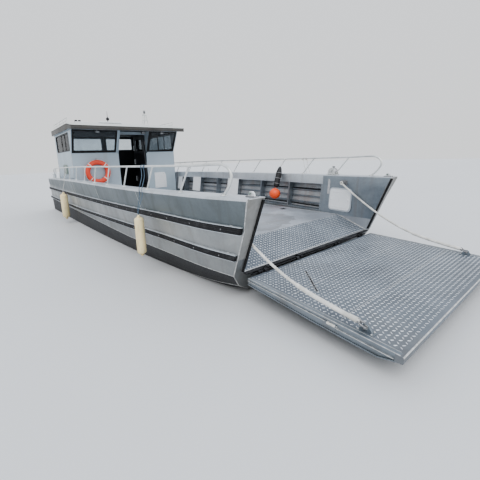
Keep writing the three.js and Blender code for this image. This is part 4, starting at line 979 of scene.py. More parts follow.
def ramp():
    L, T, w0, w1 = RAMP_LEN, RAMP_T, 1.400, 1.435
    hw = lambda s_: w0 + (w1 - w0) * s_ / L
    dep = lambda q: 0.080 + 0.025 * min(1.0, q / 0.95) - 0.055 * max(0.0, (q - (L - 0.19)) / 0.19)
    g = Geo()

    def slab(s0, s1, ya, yb, t0, t1, m=0, sm=False):
        """ya, yb are functions of s"""
        c = []
        for t in (t0, t1):
            c += [R(s0, ya(s0), t), R(s1, ya(s1), t), R(s1, yb(s1), t), R(s0, yb(s0), t)]
        g.hexa(c, m)

    # tread sheet
    slab(0.0, L - 0.02, lambda s_: -hw(s_) + 0.004, lambda s_: hw(s_) - 0.004, -0.010, 0.0, 1)
    for sg in (-1, 1):
        y_out = lambda s_, d=0.0: sg * (hw(s_) - d)
        # channel beam, shallower at the hinge and swept up to the tip: web, flanges and lips
        def bar(sta, d0, d1, ta, tb, m=0):
            g.rings([[R(q, y_out(q, d0), ta(q)), R(q, y_out(q, d1), ta(q)), R(q, y_out(q, d1), tb(q)), R(q, y_out(q, d0), tb(q))] for q in sta], m=m, smooth=False)

        full = (0.0, 0.32, 0.64, 0.95, 1.25, L - 0.19, L - 0.10, L - 0.03)
        bar(full, 0.012, 0.024, lambda q: -dep(q) + 0.004, lambda q: -0.004, 0)
        bar(full, 0.050, 0.0, lambda q: -0.013, lambda q: 0.0012, 0)
        bar(full, 0.070, 0.0, lambda q: -dep(q), lambda q: -dep(q) + 0.011, 0)
        bar((0.0, 0.5, 1.05), 0.014, 0.0, lambda q: -0.032, lambda q: -0.024, 2)
        bar((1.15, 1.3, L - 0.07), 0.014, 0.0, lambda q: -0.050, lambda q: -0.043, 2)
        bar((1.04, 1.16), 0.016, 0.001, lambda q: -0.066, lambda q: -0.020, 0)
        # bar with a cord lashed round it
        g.tube([R(q, y_out(q, 0.010), -0.034) for q in (1.03, 1.10, 1.17)], 0.008, 10, m=2)
        for k in range(9):
            q = 1.072 + 0.0095 * k
            g.tube([R(q + 0.004 * sin(w), y_out(q, 0.010) + 0.0125 * cos(w), -0.034 + 0.0125 * sin(w)) for w in [2 * pi * i / 14 for i in range(14)]], 0.0048, 6, loop=True, m=5)
        # bright wear strip on the edge
        pts = [R(0.012 + (L - 0.04) * k / 12, y_out(0.012 + (L - 0.04) * k / 12, 0.006), 0.0020) for k in range(13)]
        g.tube(pts, 0.0042, 8, m=2)
        bead(g, [R(0.02 + (L - 0.06) * k / 12, y_out(0.02 + (L - 0.06) * k / 12, 0.052), 0.0006) for k in range(13)], 0.0026, 2)
    # cross members
    slab(0.0, 0.055, lambda s_: -hw(0) + 0.02, lambda s_: hw(0) - 0.02, -T * 0.75, -0.004)
    tip = [(L - 0.064, -0.058), (L - 0.014, -0.058), (L - 0.005, -0.056), (L, -0.048), (L, -0.012), (L - 0.005, -0.003), (L - 0.012, 0.0006), (L - 0.064, 0.0006)]
    g.rings([[R(a, y, t) for a, t in tip] for y in (-w1, w1)], m=1)
    g.tube([R(L - 0.006, -w1 + 0.002, -0.005), R(L - 0.006, 0, -0.005), R(L - 0.006, w1 - 0.002, -0.005)], 0.0068, 10, m=2)
    for k in (-0.75, -0.5, -0.25, 0, 0.25, 0.5, 0.75):
        yk = k * w0
        slab(0.03, L - 0.06, lambda s_: yk - 0.004, lambda s_: yk + 0.004, -T * 0.70, -0.004)
        slab(0.03, L - 0.06, lambda s_: yk - 0.020, lambda s_: yk + 0.020, -T * 0.72, -T * 0.72 + 0.006)
    for k in (0.34, 0.67):
        slab(k * L - 0.005, k * L + 0.005, lambda s_: -w0 + 0.03, lambda s_: w0 - 0.03, -T * 0.72, -0.004)
    for k in (0.34, 0.67):
        bead(g, [R(k * L, -w0 + 0.08, 0.0008), R(k * L, w0 - 0.08, 0.0008)], 0.0024, 2)
    # lugs, with a heavier foot
    for sg in (-1, 1):
        y = sg * 0.955 * U
        out = [(0.770 * L, -0.006), (0.840 * L, -0.006), (0.831 * L, 0.030)] + [(0.805 * L + 0.030 * cos(a), 0.042 + 0.026 * sin(a)) for a in [rad(d) for d in range(0, 181, 20)]] + [(0.779 * L, 0.030)]
        g.rings([[R(a, y + d, t) for a, t in out] for d in (-0.008, 0.008)], m=0)
        g.lathe([(0.0115, -0.012), (0.020, -0.012), (0.020, 0.012), (0.0115, 0.012)], R(0.805 * L, y, 0.042), (0, 1, 0), 20, 2, loop=True)
        c = R(0.805 * L, y, 0.003)
        g.obox(c, RU * 0.075, Vector((0, 0.036, 0)), RN * 0.003, 0)
        for a, b in ((-0.058, -0.024), (0.058, -0.024), (-0.058, 0.024), (0.058, 0.024)):
            g.hexnut(c + RU * a + Vector((0, b, 0)) + RN * 0.003, RN, 0.009, 0.008, 2)
    # ears on the pin
    for y in (-1.080, -0.480, 0.480, 1.080):
        c = HINGE + Vector((0, y, 0))
        g.lathe([(0.0185, -0.025), (0.0255, -0.025), (0.0255, 0.025), (0.0185, 0.025)], c, (0, 1, 0), 28, 4, loop=True)
        g.box((c.x + 0.006, y - 0.0245, c.z - 0.0255), (0.087 + 0.014 + OX, y + 0.0245, c.z - 0.0185), 4)
        g.box((c.x + 0.0255, y - 0.0245, c.z - 0.0255), (0.087 + 0.010 + OX, y + 0.0245, c.z + 0.004), 4)
    # slot shown as a black sheet on the tread, painted shade of the open slit, and its bright lip
    p, q = R(0.30, -0.735, 0), R(0.715, -1.070, 0)
    e = (q - p).normalized()
    f = RN.cross(e)
    c = (p + q) / 2
    g.obox(c + RN * 0.0012, e * ((q - p).length / 2), f * 0.013, RN * 0.0016, 3)
    for sg in (-1, 1):
        g.tube([p + f * sg * 0.013 + RN * 0.002, q + f * sg * 0.013 + RN * 0.002], 0.0028, 8, m=2)
    make("ramp_structure", g, ["inner", "tread", "weld", "black", "pin", "rope"], body="ramp_body", replaces=["ramp"], bevel=0.0022, seg=2, angle=30)
    g = Geo()
    tread_field(g, R(0.012, 0, 0.0), RU, Vector((0, 1, 0)), RN, L - 0.030, w0 - 0.056, 0.0445, taper=(w1 - w0) / L)
    make("ramp_tread_ribs", g, ["rib"], body="ramp_body", angle=80)


def hinge_gear():
    finish_node("ramp_hinge_pin", "pin", 0.003)
    finish_node("ramp_hinge_flap", "rubber", 0.0015, 1)
    for s in ("starboard", "port"):
        sg = -1 if s == "starboard" else 1
        g = Geo()
        # P-section seal on the closing face
        z0, z1 = 0.018, 0.640
        rows = []
        for k in range(9):
            z = z0 + (z1 - z0) * k / 8
            x = 0.42 * z * U + OX + 0.001
            y = sg * 1.010 * U
            rows.append([Vector((x + a, y + sg * b, z * U + OZ)) for a, b in ((0, -0.0097), (0, 0.0097), (0.006, 0.0097), (0.011, 0.0080), (0.024, 0.0085), (0.031, 0.0050), (0.033, 0), (0.031, -0.0050), (0.024, -0.0085), (0.011, -0.0080), (0.006, -0.0097))])
        g.rings(rows, m=0)
        make(f"bow_seal_strip_{s}", g, ["gasket"], replaces=[f"bow_seal_{s}"], angle=40)


ROPE_LINE = [(-0.345, 0.566), (-0.203, 0.459), (-0.061, 0.362), (0.080, 0.272), (0.222, 0.194), (0.364, 0.126), (0.506, 0.073), (0.647, 0.036), (0.789, 0.011), (0.900, -0.006), (1.002, -0.018)]


def ramp_ropes():
    for s in (-1, 1):
        side = "starboard" if s < 0 else "port"
        line = spline([W(x, s * (0.985 - 0.03 * (x + 0.345) / 1.418), z) for x, z in ROPE_LINE], 7)
        g = Geo()
        g.rope(line, 0.0160, 0.088, 3, 7)
        # eye splice: the last part is laid double
        n = int(len(line) * 0.62)
        g.rope(line[n:], 0.0215, 0.070, 4, 7)
        ob = make(f"ramp_lifting_rope_{side}", g, ["rope"], replaces=[f"ramp_rope_{side}"], angle=60, ride=False)
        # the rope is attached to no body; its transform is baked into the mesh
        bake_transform(ob)
        # whipping, thimble and shackle at the lug ride with the ramp
        g = Geo()
        lug = R(0.805 * RAMP_LEN, s * 0.955 * U, 0.042)
        e = line[-1]
        d = (line[-4] - line[-1]).normalized()
        g.tube([e + d * k for k in (-0.012, 0.0, 0.02, 0.05, 0.08, 0.10)], lambda t: 0.0225 - 0.006 * abs(2 * t - 1) ** 3, 14, m=0)
        o = d.cross(Vector((0, 1, 0))).normalized()
        for k in range(8):
            g.tube([e + d * (0.012 + 0.0105 * k) + (o * cos(w) + Vector((0, 1, 0)) * sin(w)) * 0.0222 for w in [2 * pi * i / 14 for i in range(14)]], 0.0030, 5, loop=True, m=0)
        # bow shackle from the thimble to the lug's hole
        q = (e - lug)
        k = q.length
        q.normalize()
        mid = lug + q * (k * 0.5)
        g.tube([mid + q * ((k * 0.5 + 0.010) * cos(w)) + Vector((0, 1, 0)) * (0.026 * sin(w)) for w in [2 * pi * i / 24 for i in range(24)]], 0.0085, 9, loop=True, m=1)
        g.tube([e + o * (0.020 * sin(w)) - q * (0.006 - 0.018 * cos(w)) for w in [2 * pi * i / 18 for i in range(18)]], 0.0062, 8, loop=True, m=1)
        g.tube([lug + Vector((0, -0.036, 0)), lug + Vector((0, 0.036, 0))], 0.0100, 10, m=1)
        g.hexnut(lug + Vector((0, 0.030, 0)), (0, 1, 0), 0.015, 0.010, 1)
        g.dome(lug + Vector((0, -0.030, 0)), (0, -1, 0), 0.015, 0.008, 12, 1)
        make(f"ramp_rope_shackle_{side}", g, ["rope", "steel"], body="ramp_body", angle=50)
        # eye and pad on the inner bow plate
        g = Geo()
        p = line[0]
        h = hull_at(-0.405)
        wall = Vector((p.x, s * side_inner(-0.43, 0.53) * U, p.z))
        n = Vector((0, -s, 0))
        reach = (p - wall).dot(n)
        g.prism(rrect(0.12, 0.09, 0.02), lambda u, v, w: wall + Vector((u, 0, v)) + n * w, -0.004, 0.008, m=1)
        for a_, b_ in ((-0.042, -0.028), (0.042, -0.028), (-0.042, 0.028), (0.042, 0.028)):
            g.hexnut(wall + Vector((a_, 0, b_)) + n * 0.008, n, 0.009, 0.007, 1)
        g.tube([wall + n * 0.006, wall + n * (reach * 0.5), wall + n * (reach - 0.012)], 0.010, 12, m=1)
        g.tube([wall + n * reach + Vector((0.020 * cos(w), 0, 0.020 * sin(w))) for w in [2 * pi * i / 20 for i in range(20)]], 0.0075, 10, loop=True, m=1)
        k = [p + Vector((0.020 * cos(w), s * (0.004 * sin(2 * w)), -0.004 + 0.026 * sin(w))) for w in [2 * pi * i / 24 for i in range(24)]]
        g.tube(k, 0.0095, 8, loop=True, m=0)
        g.tube([q + Vector((0.006, -s * 0.008, 0.004)) for q in k], 0.0105, 8, loop=True, m=0)
        make(f"ramp_rope_eye_{side}", g, ["rope", "steel"], angle=50)


def side_inner(x, z):
    """inner surface of the bow box or bulwark at station x, height z, in U"""
    h = hull_at(x)
    yb, yt = inner_edge(x, "bow")
    return yb + (yt - 0.006 - yb) * (z - DZ) / (h.capZ - 0.13 - DZ)


# ------------------------------------------------------------------ rails
def rail_foot(i):
    x = 0.016 - 0.606 * i
    h = hull_at(max(-7.4, min(0, x)))
    return x, h.capY - h.capW * 0.52, h.capZ


LEAN = 0.205


def rail_top(x):
    """y and z of the top tube at station x, in U"""
    h = hull_at(max(-7.4, min(0, x - LEAN)))
    return h.capY - 0.52 * h.capW + 0.012, h.capZ + 0.235


def handrail(s):
    side = "starboard" if s < 0 else "port"
    g = Geo()
    feet = [rail_foot(i) for i in range(12)]
    tops = [(x + LEAN, y + 0.012, z + 0.235) for x, y, z in feet]
    a, b = feet[0], feet[11]
    path = [(-0.033, 1.135, a[2]), (0.020, 1.139, a[2] + 0.043), (0.066, 1.143, a[2] + 0.097), (0.087, 1.145, a[2] + 0.148), (0.070, 1.146, a[2] + 0.194), (0.020, 1.150, a[2] + 0.226), (-0.060, 1.158, a[2] + 0.237),
            *tops[1:], (b[0] - 0.10, b[1] + 0.01, b[2] + 0.20), (b[0] - 0.16, b[1], b[2] + 0.09), (b[0] - 0.17, b[1], b[2] + 0.002)]
    P = lambda p, d=0.0: W(p[0], s * p[1], p[2]) + Vector((0, 0, d))
    g.tube(spline([P(p, 0.001) for p in path], 9), 0.015, 16, m=0)
    for f in [path[0], path[-1], *feet[1:]]:
        g.lathe([(0, 0.0), (0.040, 0.0), (0.040, 0.005), (0.037, 0.008), (0.015, 0.009), (0, 0.009)], P(f), (0, 0, 1), 24, m=0)
        for k in range(3):
            w = 2 * pi * (k / 3 + 0.08)
            g.hexnut(P(f, 0.0085) + Vector((0.030 * cos(w), 0.030 * sin(w), 0)), (0, 0, 1), 0.0055, 0.0045, 1)
    for f, t in zip(feet[1:], tops[1:]):
        p, q = P(f, 0.002), P(t, -0.004)
        d = (q - p).normalized()
        g.tube([p, p.lerp(q, 0.5), q], 0.012, 14, m=0)
        # weld collars at both ends
        for c, r in ((p + d * 0.011, 0.0122), (q - d * 0.013, 0.0122)):
            u = d.orthogonal().normalized()
            v = d.cross(u)
            g.tube([c + (u * cos(w) + v * sin(w)) * r for w in [2 * pi * k / 16 for k in range(16)]], 0.0032, 6, loop=True, m=2)
    make(f"handrail_tubes_{side}", g, ["tube", "steel", "weld"], replaces=[f"handrail_{side}"], angle=50)


# ------------------------------------------------------------------ wheelhouse
F, SILL, TOPX, TOPZ, WALL, HW, BACK = CABIN_X * U, 1.141 * U, -4.995 * U, 1.600 * U, 0.042, 1.165 * U, -6.93 * U
Z0 = DZ * U + 0.0003
EU = Vector((TOPX - F, 0, TOPZ - SILL)).normalized()
EN = Vector((EU.z, 0, -EU.x))
F = -5.26 * U
WIN_S, WIN_P, WIN_Z = (-1.122 * U, -0.287 * U), (0.502 * U, 1.122 * U), (1.160 * U, 1.578 * U)
SIDE_X, SIDE_Z = (-6.78 * U, -5.32 * U), (1.20 * U, 1.555 * U)
BACK_Y, BACK_Z = [(-0.80 * U, -0.09 * U), (0.02 * U, 0.72 * U)], (1.24 * U, 1.555 * U)


def M(x, y, z):
    """working frame in metres"""
    return Vector((x + OX, y, z + OZ))


def rake_x(z):
    return F if z <= SILL else F + (TOPX - F) * (z - SILL) / (TOPZ - SILL)


def on_screen(y, z, d):
    return M(rake_x(z), y, z) + EN * d


def frame_ring(g, fn, cx, cy, w, h, band, t0, t1, r=0.04, m=0, seg=5, lip=0.0):
    """flat frame with round corners: opening w by h, width band, between depths t0 and t1"""
    a = rrect(w, h, r, seg, cx, cy)
    b = rrect(w + 2 * band, h + 2 * band, r + band, seg, cx, cy)
    e = min(0.004, band * 0.3)
    c = rrect(w + 2 * e, h + 2 * e, r + e, seg, cx, cy)
    d = rrect(w + 2 * (band - e), h + 2 * (band - e), r + band - e, seg, cx, cy)
    k = (t1 - t0) * 0.35 if t1 > t0 else (t1 - t0) * 0.35
    rings = [[fn(*b[i], t0), fn(*b[i], t1 - k), fn(*d[i], t1), fn(*c[i], t1), fn(*a[i], t1 - k), fn(*a[i], t0)] for i in range(len(a))]
    g.rings(rings, loop=True, m=m)


def holed(g, fn, u0, u1, v0, v1, holes, t0, t1, m=0):
    """plate u0..u1 by v0..v1 with rectangular holes, between depths t0 and t1"""
    us = sorted({u0, u1, *[h[0] for h in holes], *[h[1] for h in holes]})
    vs = sorted({v0, v1, *[h[2] for h in holes], *[h[3] for h in holes]})
    solid = lambda i, j: 0 <= i < len(us) - 1 and 0 <= j < len(vs) - 1 and not any(h[0] <= (us[i] + us[i + 1]) / 2 <= h[1] and h[2] <= (vs[j] + vs[j + 1]) / 2 <= h[3] for h in holes)
    v, f = [], []
    idx = {}
    for t in (t0, t1):
        for i, a in enumerate(us):
            for j, b in enumerate(vs):
                idx[i, j, t] = len(v)
                v.append(fn(a, b, t))
    for i in range(len(us) - 1):
        for j in range(len(vs) - 1):
            if not solid(i, j):
                continue
            q = [(i, j), (i + 1, j), (i + 1, j + 1), (i, j + 1)]
            f.append([idx[(*p, t1)] for p in q])
            f.append([idx[(*p, t0)] for p in q][::-1])
            for (di, dj), (p, r) in zip(((0, -1), (1, 0), (0, 1), (-1, 0)), ((q[0], q[1]), (q[1], q[2]), (q[2], q[3]), (q[3], q[0]))):
                if not solid(i + di, j + dj):
                    f.append([idx[(*p, t0)], idx[(*r, t0)], idx[(*r, t1)], idx[(*p, t1)]])
    g.add(v, f, m, False)


def cabin():
    for n in ("cabin_front", "cabin_side_starboard", "cabin_side_port", "cabin_back"):
        finish_node(n, "paint", 0.004, 2)
    for n in ("glass_front_starboard", "glass_front_port", "glass_side_starboard", "glass_side_port", "glass_back_starboard", "glass_back_port", "glass_door"):
        finish_node(n, "glass_side" if "side" in n else "glass", 0.0008, 1)
    # black surrounds and gaskets
    g = Geo()
    for (y0, y1), oy in ((WIN_S, 0), (WIN_P, 0)):
        z0, z1 = WIN_Z
        k = EU.z
        cy, cz = (y0 + y1) / 2, (z0 + z1) / 2
        fn = lambda u, v, t: on_screen(u, v, t)
        frame_ring(g, fn, cy, cz, y1 - y0 - 0.02, z1 - z0 - 0.018, 0.022, 0.0006, 0.009, 0.03)
        frame_ring(g, fn, cy, cz, y1 - y0 - 0.035, z1 - z0 - 0.033, 0.012, -0.013, -0.004, 0.024)
        # flat black margin outside the seal
        a, b = (-1.150 * U, -0.262 * U) if y0 < 0 else (0.463 * U, 1.150 * U)
        holed(g, fn, a, b, SILL + 0.003, TOPZ - 0.004, [(y0 + 0.010, y1 - 0.010, z0 + 0.009, z1 - 0.009)], 0.0004, 0.0035)
    # black cover on the slanted post between the door and the port screen
    ya, yb = 0.440 * U + 0.0022, 0.440 * U + 0.0318
    g.hexa([M(*q) for q in ((F + 0.0008, ya, SILL - 0.040), (F + 0.0024, ya, SILL - 0.040), (F + 0.0024, yb, SILL - 0.040), (F + 0.0008, yb, SILL - 0.040),
                            (TOPX + 0.0008, ya, TOPZ - 0.002), (TOPX + 0.0028, ya, TOPZ - 0.002), (TOPX + 0.0028, yb, TOPZ - 0.002), (TOPX + 0.0008, yb, TOPZ - 0.002))])
    for s in (-1, 1):
        x0, x1 = SIDE_X
        z0, z1 = SIDE_Z
        cx, cz = (x0 + x1) / 2, (z0 + z1) / 2
        fn = lambda u, v, t: M(u, s * (HW + t), v)
        frame_ring(g, fn, cx, cz, x1 - x0 - 0.02, z1 - z0 - 0.02, 0.028, 0.0006, 0.007, 0.035)
        frame_ring(g, fn, cx, cz, x1 - x0 - 0.035, z1 - z0 - 0.035, 0.012, -0.0115, -0.004, 0.03)
        # two sliding-pane bars
        for u in (cx - 0.10, cx + 0.42):
            g.box(M(u - 0.034, s * (HW - 0.0115) if s > 0 else -(HW - 0.004), z0 + 0.004), M(u + 0.034, s * (HW - 0.004) if s > 0 else -(HW - 0.0115), z1 - 0.004))
    for y0, y1 in BACK_Y:
        z0, z1 = BACK_Z
        fn = lambda u, v, t: M(BACK - t, u, v)
        frame_ring(g, fn, (y0 + y1) / 2, (z0 + z1) / 2, y1 - y0 - 0.02, z1 - z0 - 0.02, 0.026, 0.0006, 0.007, 0.03)
        frame_ring(g, fn, (y0 + y1) / 2, (z0 + z1) / 2, y1 - y0 - 0.035, z1 - z0 - 0.035, 0.012, -0.0135, -0.004, 0.025)
    make("window_surrounds", g, ["gasket"], angle=40)
    # near-black sheets inside the walls and under the roof: painted shade of the interior
    g = Geo()
    yi = HW - 0.034 - 0.001
    for s in (-1, 1):
        fn = lambda u, v, t: M(u, s * (yi - t), v)
        holed(g, fn, BACK + 0.048, F - WALL - 0.004, Z0 + 0.006, TOPZ - 0.004, [(SIDE_X[0] - 0.004, SIDE_X[1] + 0.004, SIDE_Z[0] - 0.004, SIDE_Z[1] + 0.004)], 0.0, 0.004)
    fn = lambda u, v, t: M(BACK + WALL + 0.001 + t, u, v)
    holed(g, fn, -yi + 0.006, yi - 0.006, Z0 + 0.006, TOPZ - 0.004, [(a - 0.004, b + 0.004, BACK_Z[0] - 0.004, BACK_Z[1] + 0.004) for a, b in BACK_Y], 0.0, 0.004)
    fn = lambda u, v, t: M(rake_x(v) - WALL * (1 if v <= SILL else 1.0) - 0.0015 - t, u, v)
    d0, d1 = -0.205 * U - 0.034, 0.440 * U + 0.034
    for y0, y1, w in ((-yi + 0.006, d0, WIN_S), (d1, yi - 0.006, WIN_P)):
        holed(g, fn, y0, y1, Z0 + 0.006, TOPZ - 0.006, [(w[0] - 0.004, w[1] + 0.004, WIN_Z[0] - 0.004, WIN_Z[1] + 0.004), (y0, y0, SILL, SILL)], 0.0, 0.004)
    g.hexa([M(*p) for p in ((BACK + 0.048, -yi, TOPZ - 0.003), (TOPX - 0.046, -yi, TOPZ - 0.003), (TOPX - 0.046, yi, TOPZ - 0.003), (BACK + 0.048, yi, TOPZ - 0.003),
                            (BACK + 0.048, -yi, TOPZ + 0.003), (TOPX - 0.046, -yi, TOPZ + 0.003), (TOPX - 0.046, yi, TOPZ + 0.003), (BACK + 0.048, yi, TOPZ + 0.003))], 0)
    make("cabin_interior_shade_sheets", g, ["lining"])
    g = Geo()
    g.box(M(BACK + 0.052, -yi + 0.01, Z0), M(F - WALL - 0.01, yi - 0.01, Z0 + 0.005), 0)
    make("cabin_floor_mat", g, ["black"], bevel=0.002, seg=1)
    # outside trim: sill ledge under the screens, corner rubbing strips, foot beads
    g = Geo()
    for y0, y1 in ((-HW + 0.002, -0.205 * U - 0.036), (0.440 * U + 0.036, HW - 0.002)):
        g.box(M(F + 0.0005, y0, SILL - 0.016), M(F + 0.010, y1, SILL - 0.004), 0)
        bead(g, [M(F + 0.002, y0, Z0 + 0.003), M(F + 0.002, y1, Z0 + 0.003)], 0.005, 1)
    for s in (-1, 1):
        bead(g, [M(F + 0.001, s * (HW + 0.0005), Z0 + 0.8), M(F + 0.001, s * (HW + 0.0005), SILL - 0.02)], 0.004, 1)
        bead(g, [M(BACK - 0.001, s * (HW + 0.0005), 0.9), M(BACK - 0.001, s * (HW + 0.0005), TOPZ - 0.02)], 0.004, 1)
    make("cabin_trim", g, ["paint", "weld"], bevel=0.002, seg=2)
    # grey-green rounded cover low on the cabin side, and its mate
    g = Geo()
    for s in (-1, 1):
        fn = lambda u, v, t: M(-6.02 * U + u, s * (HW + t), 0.80 * U + v)
        g.prism(rrect(0.62, 0.30, 0.09, 8), fn, -0.002, 0.020, 0, False)
        g.prism(rrect(0.54, 0.22, 0.06, 8), fn, 0.018, 0.026, 0, False)
        for a, b in ((-0.27, -0.11), (0.27, -0.11), (-0.27, 0.11), (0.27, 0.11)):
            g.dome(fn(a, b, 0.019), (0, s, 0), 0.008, 0.004, 10, 1)
    make("cabin_side_covers", g, ["dgreen", "steel"], bevel=0.004, seg=2)


def door_gear():
    # the leaf takes the near-black painted shade
    ob = finish_node("cabin_door", "door", 0.004, 2)
    ob.data.materials.append(MT["white"])
    lo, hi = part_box("cabin_door")
    for p in ob.data.polygons:
        p.material_index = 1 if p.center.y < hi.y - 0.0405 else 0
    # gasket round the pane, hinge knuckles, kick strip
    g = Geo()
    gl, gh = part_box("glass_door")
    cx, cz = (gl.x + gh.x) / 2, (gl.z + gh.z) / 2
    for y, d in ((hi.y - 0.040, -1), (hi.y, 1)):
        fn = lambda u, v, t: Vector((u, y + d * t, v))
        frame_ring(g, fn, cx, cz, gh.x - gl.x - 0.02, gh.z - gl.z - 0.02, 0.024, 0.0003, 0.005, 0.03)
    g.box((lo.x + 0.05, hi.y - 0.0435, lo.z + 0.05), (hi.x - 0.05, hi.y - 0.0403, lo.z + 0.24), 1)
    make("door_gasket", g, ["gasket", "steel"], body="door_body", bevel=0.001, seg=1)
    g = Geo()
    px, py = F - 0.043 + OX, 0.440 * U - 0.008
    for z in (lo.z + 0.25, (lo.z + hi.z) / 2, hi.z - 0.25):
        g.lathe([(0, -0.055), (0.011, -0.055), (0.0125, -0.052), (0.0125, -0.019), (0.011, -0.017), (0.011, 0.017), (0.0125, 0.019), (0.0125, 0.052), (0.011, 0.055), (0, 0.055)], (hi.x + 0.004, hi.y + 0.006, z), (0, 0, 1), 16, 0)
    make("door_hinges", g, ["steel"], body="door_body")


def roof():
    x0, x1, w, z0, z1 = -7.06 * U, -4.70 * U, 1.210 * U, 1.606 * U, 1.745 * U
    brow, lip, fz0, fz1 = -5.10 * U, -4.995 * U, 1.579 * U, 1.672 * U
    under = lambda x: z0 + (fz0 - z0) * max(0.0, (x - lip) / (x1 - lip))
    top = lambda x: z1 + (fz1 - z1) * max(0.0, (x - brow) / (x1 - brow))

    def level(x, z):
        """height of a row once the brow is bent down"""
        a, b = under(x), top(x)
        return a + (b - a) * (z - z0) / (z1 - z0) if z <= z1 else b + z - z1

    def outline(d, out=0.0, r0=0.075):
        """plan outline, forward port corner first, with extra points where the brow bends"""
        r_ = max(0.02, r0 - d)
        a, b, c = x0 + d - out, x1 - d + out, w - d + out
        keep = lambda x, k: min(max(x, a + r_ + 0.01), b - r_ - 0.004 * k)
        arc = lambda px, py, t: [(px + r_ * cos(rad(t + 15 * i)), py + r_ * sin(rad(t + 15 * i))) for i in range(7)]
        return (arc(b - r_, c - r_, 0) + [(keep(lip, 1), c), (keep(brow, 2), c)] + arc(a + r_, c - r_, 90) + arc(a + r_, -c + r_, 180)
                + [(keep(brow, 2), -c), (keep(lip, 1), -c)] + arc(b - r_, -c + r_, 270))

    # the top 50 mm of the fascia and the rounded edge take the light roof paint, a painted highlight along the top edge
    rows = [(0.30, z0, 0), (0.016, z0, 0), (0.004, z0 + 0.003, 1), (0.0, z0 + 0.012, 1), (0.0, z1 - 0.050, 1), (0.0, z1 - 0.044, 2), (0.004, z1 - 0.030, 2), (0.016, z1 - 0.018, 2), (0.04, z1 - 0.011, 2), (0.09, z1 - 0.006, 2),
            (0.3, z1 + 0.001, 2), (0.50, z1 + 0.005, 2), (0.60, z1 + 0.007, 2), (0.8, z1 + 0.009, 2), (1.2, z1 + 0.012, 2), (1.55, z1 + 0.0135, 2)]
    g = Geo()
    rings = [[M(p, q, level(p, z)) for p, q in outline(d)] for d, z, _ in rows]
    n = len(rings[0])
    for i in range(len(rings) - 1):
        g.rings([rings[i], rings[i + 1]], caps=False, m=rows[i + 1][2] if i else 0)
    g.add(rings[0], [tuple(range(n))[::-1]], 0)
    g.add(rings[-1], [tuple(range(n))], 2)
    # turned drip edge and a seam along the fascia
    g.tube([M(p, q, level(p, z1 - 0.046)) for p, q in outline(0.0, 0.002)], 0.006, 8, loop=True, m=3)
    g.tube([M(p, q, level(p, z0 + 0.010)) for p, q in outline(0.0, 0.001)], 0.004, 6, loop=True, m=1)
    make("roof_shell", g, ["paint", "fascia", "roof", "gasket"], replaces=["cabin_roof"], angle=38, weld=1e-5)
    # roof gear
    RT = z1
    for s in (-1, 1):
        side = "starboard" if s < 0 else "port"
        g = Geo()
        zl, zh, yb = RT + 0.060, RT + 0.140, 1.165 * U
        xs = [v * U for v in (-5.22, -5.62, -6.02, -6.42, -6.82)]
        for z in (zl, zh):
            a, b = xs[0] + 0.030, xs[-1] - 0.030
            g.tube(resample([M(a, s * yb, z), M(b, s * yb, z)], 0.3), 0.011, 14)
        for x in xs:
            g.tube([M(x, s * yb, RT - 0.012), M(x, s * yb, RT + 0.06), M(x, s * yb, zh)], 0.009, 12)
            g.lathe([(0, -0.004), (0.030, -0.004), (0.030, 0.003), (0.026, 0.006), (0.010, 0.007), (0, 0.007)], M(x, s * yb, RT - 0.009), (0, 0, 1), 20)
        make(f"roof_rail_tubes_{side}", g, ["tube"], replaces=[f"roof_rail_{side}"], angle=50)
    # light mast
    g = Geo()
    x, y, z, ww, h = -5.30 * U, 0.50 * U, RT + 0.012, 0.110, 0.400
    P = lambda a, b, c: M(x + a, y + b, z + c)
    g.tube([P(0, -ww, 0), P(0, -0.05, h - 0.06)], 0.014, 16)
    g.tube([P(0, ww, 0), P(0, 0.05, h - 0.06)], 0.014, 16)
    g.tube([P(-0.13, 0, 0), P(0, 0, h * 0.55)], 0.012, 14)
    g.tube([P(0, -0.082, h * 0.42), P(0, 0.082, h * 0.42)], 0.012, 14)
    g.tube([P(0, 0, h * 0.42), P(0, 0, h + 0.01)], 0.014, 14)
    g.tube([P(0, -0.07, h - 0.062), P(0, 0.07, h - 0.062)], 0.020, 16)
    for a, b in ((0, -ww), (0, ww), (-0.13, 0)):
        g.lathe([(0, 0), (0.036, 0), (0.036, 0.005), (0.033, 0.008), (0.012, 0.009), (0, 0.009)], P(a, b, -0.001), (0, 0, 1), 20)
    g.lathe([(0, h - 0.010), (0.030, h - 0.010), (0.036, h), (0.036, h + 0.012), (0.031, h + 0.016)], P(0, 0, 0), (0, 0, 1), 24, 1)
    g.lathe([(0.031, h + 0.016), (0.032, h + 0.020), (0.032, h + 0.052), (0.028, h + 0.060)], P(0, 0, 0), (0, 0, 1), 24, 2)
    g.lathe([(0.028, h + 0.060), (0.036, h + 0.062), (0.036, h + 0.068), (0.024, h + 0.074), (0, h + 0.075)], P(0, 0, 0), (0, 0, 1), 24, 1)
    make("light_mast_tubes", g, ["tube", "black", "lens"], replaces=["light_mast"], angle=45)
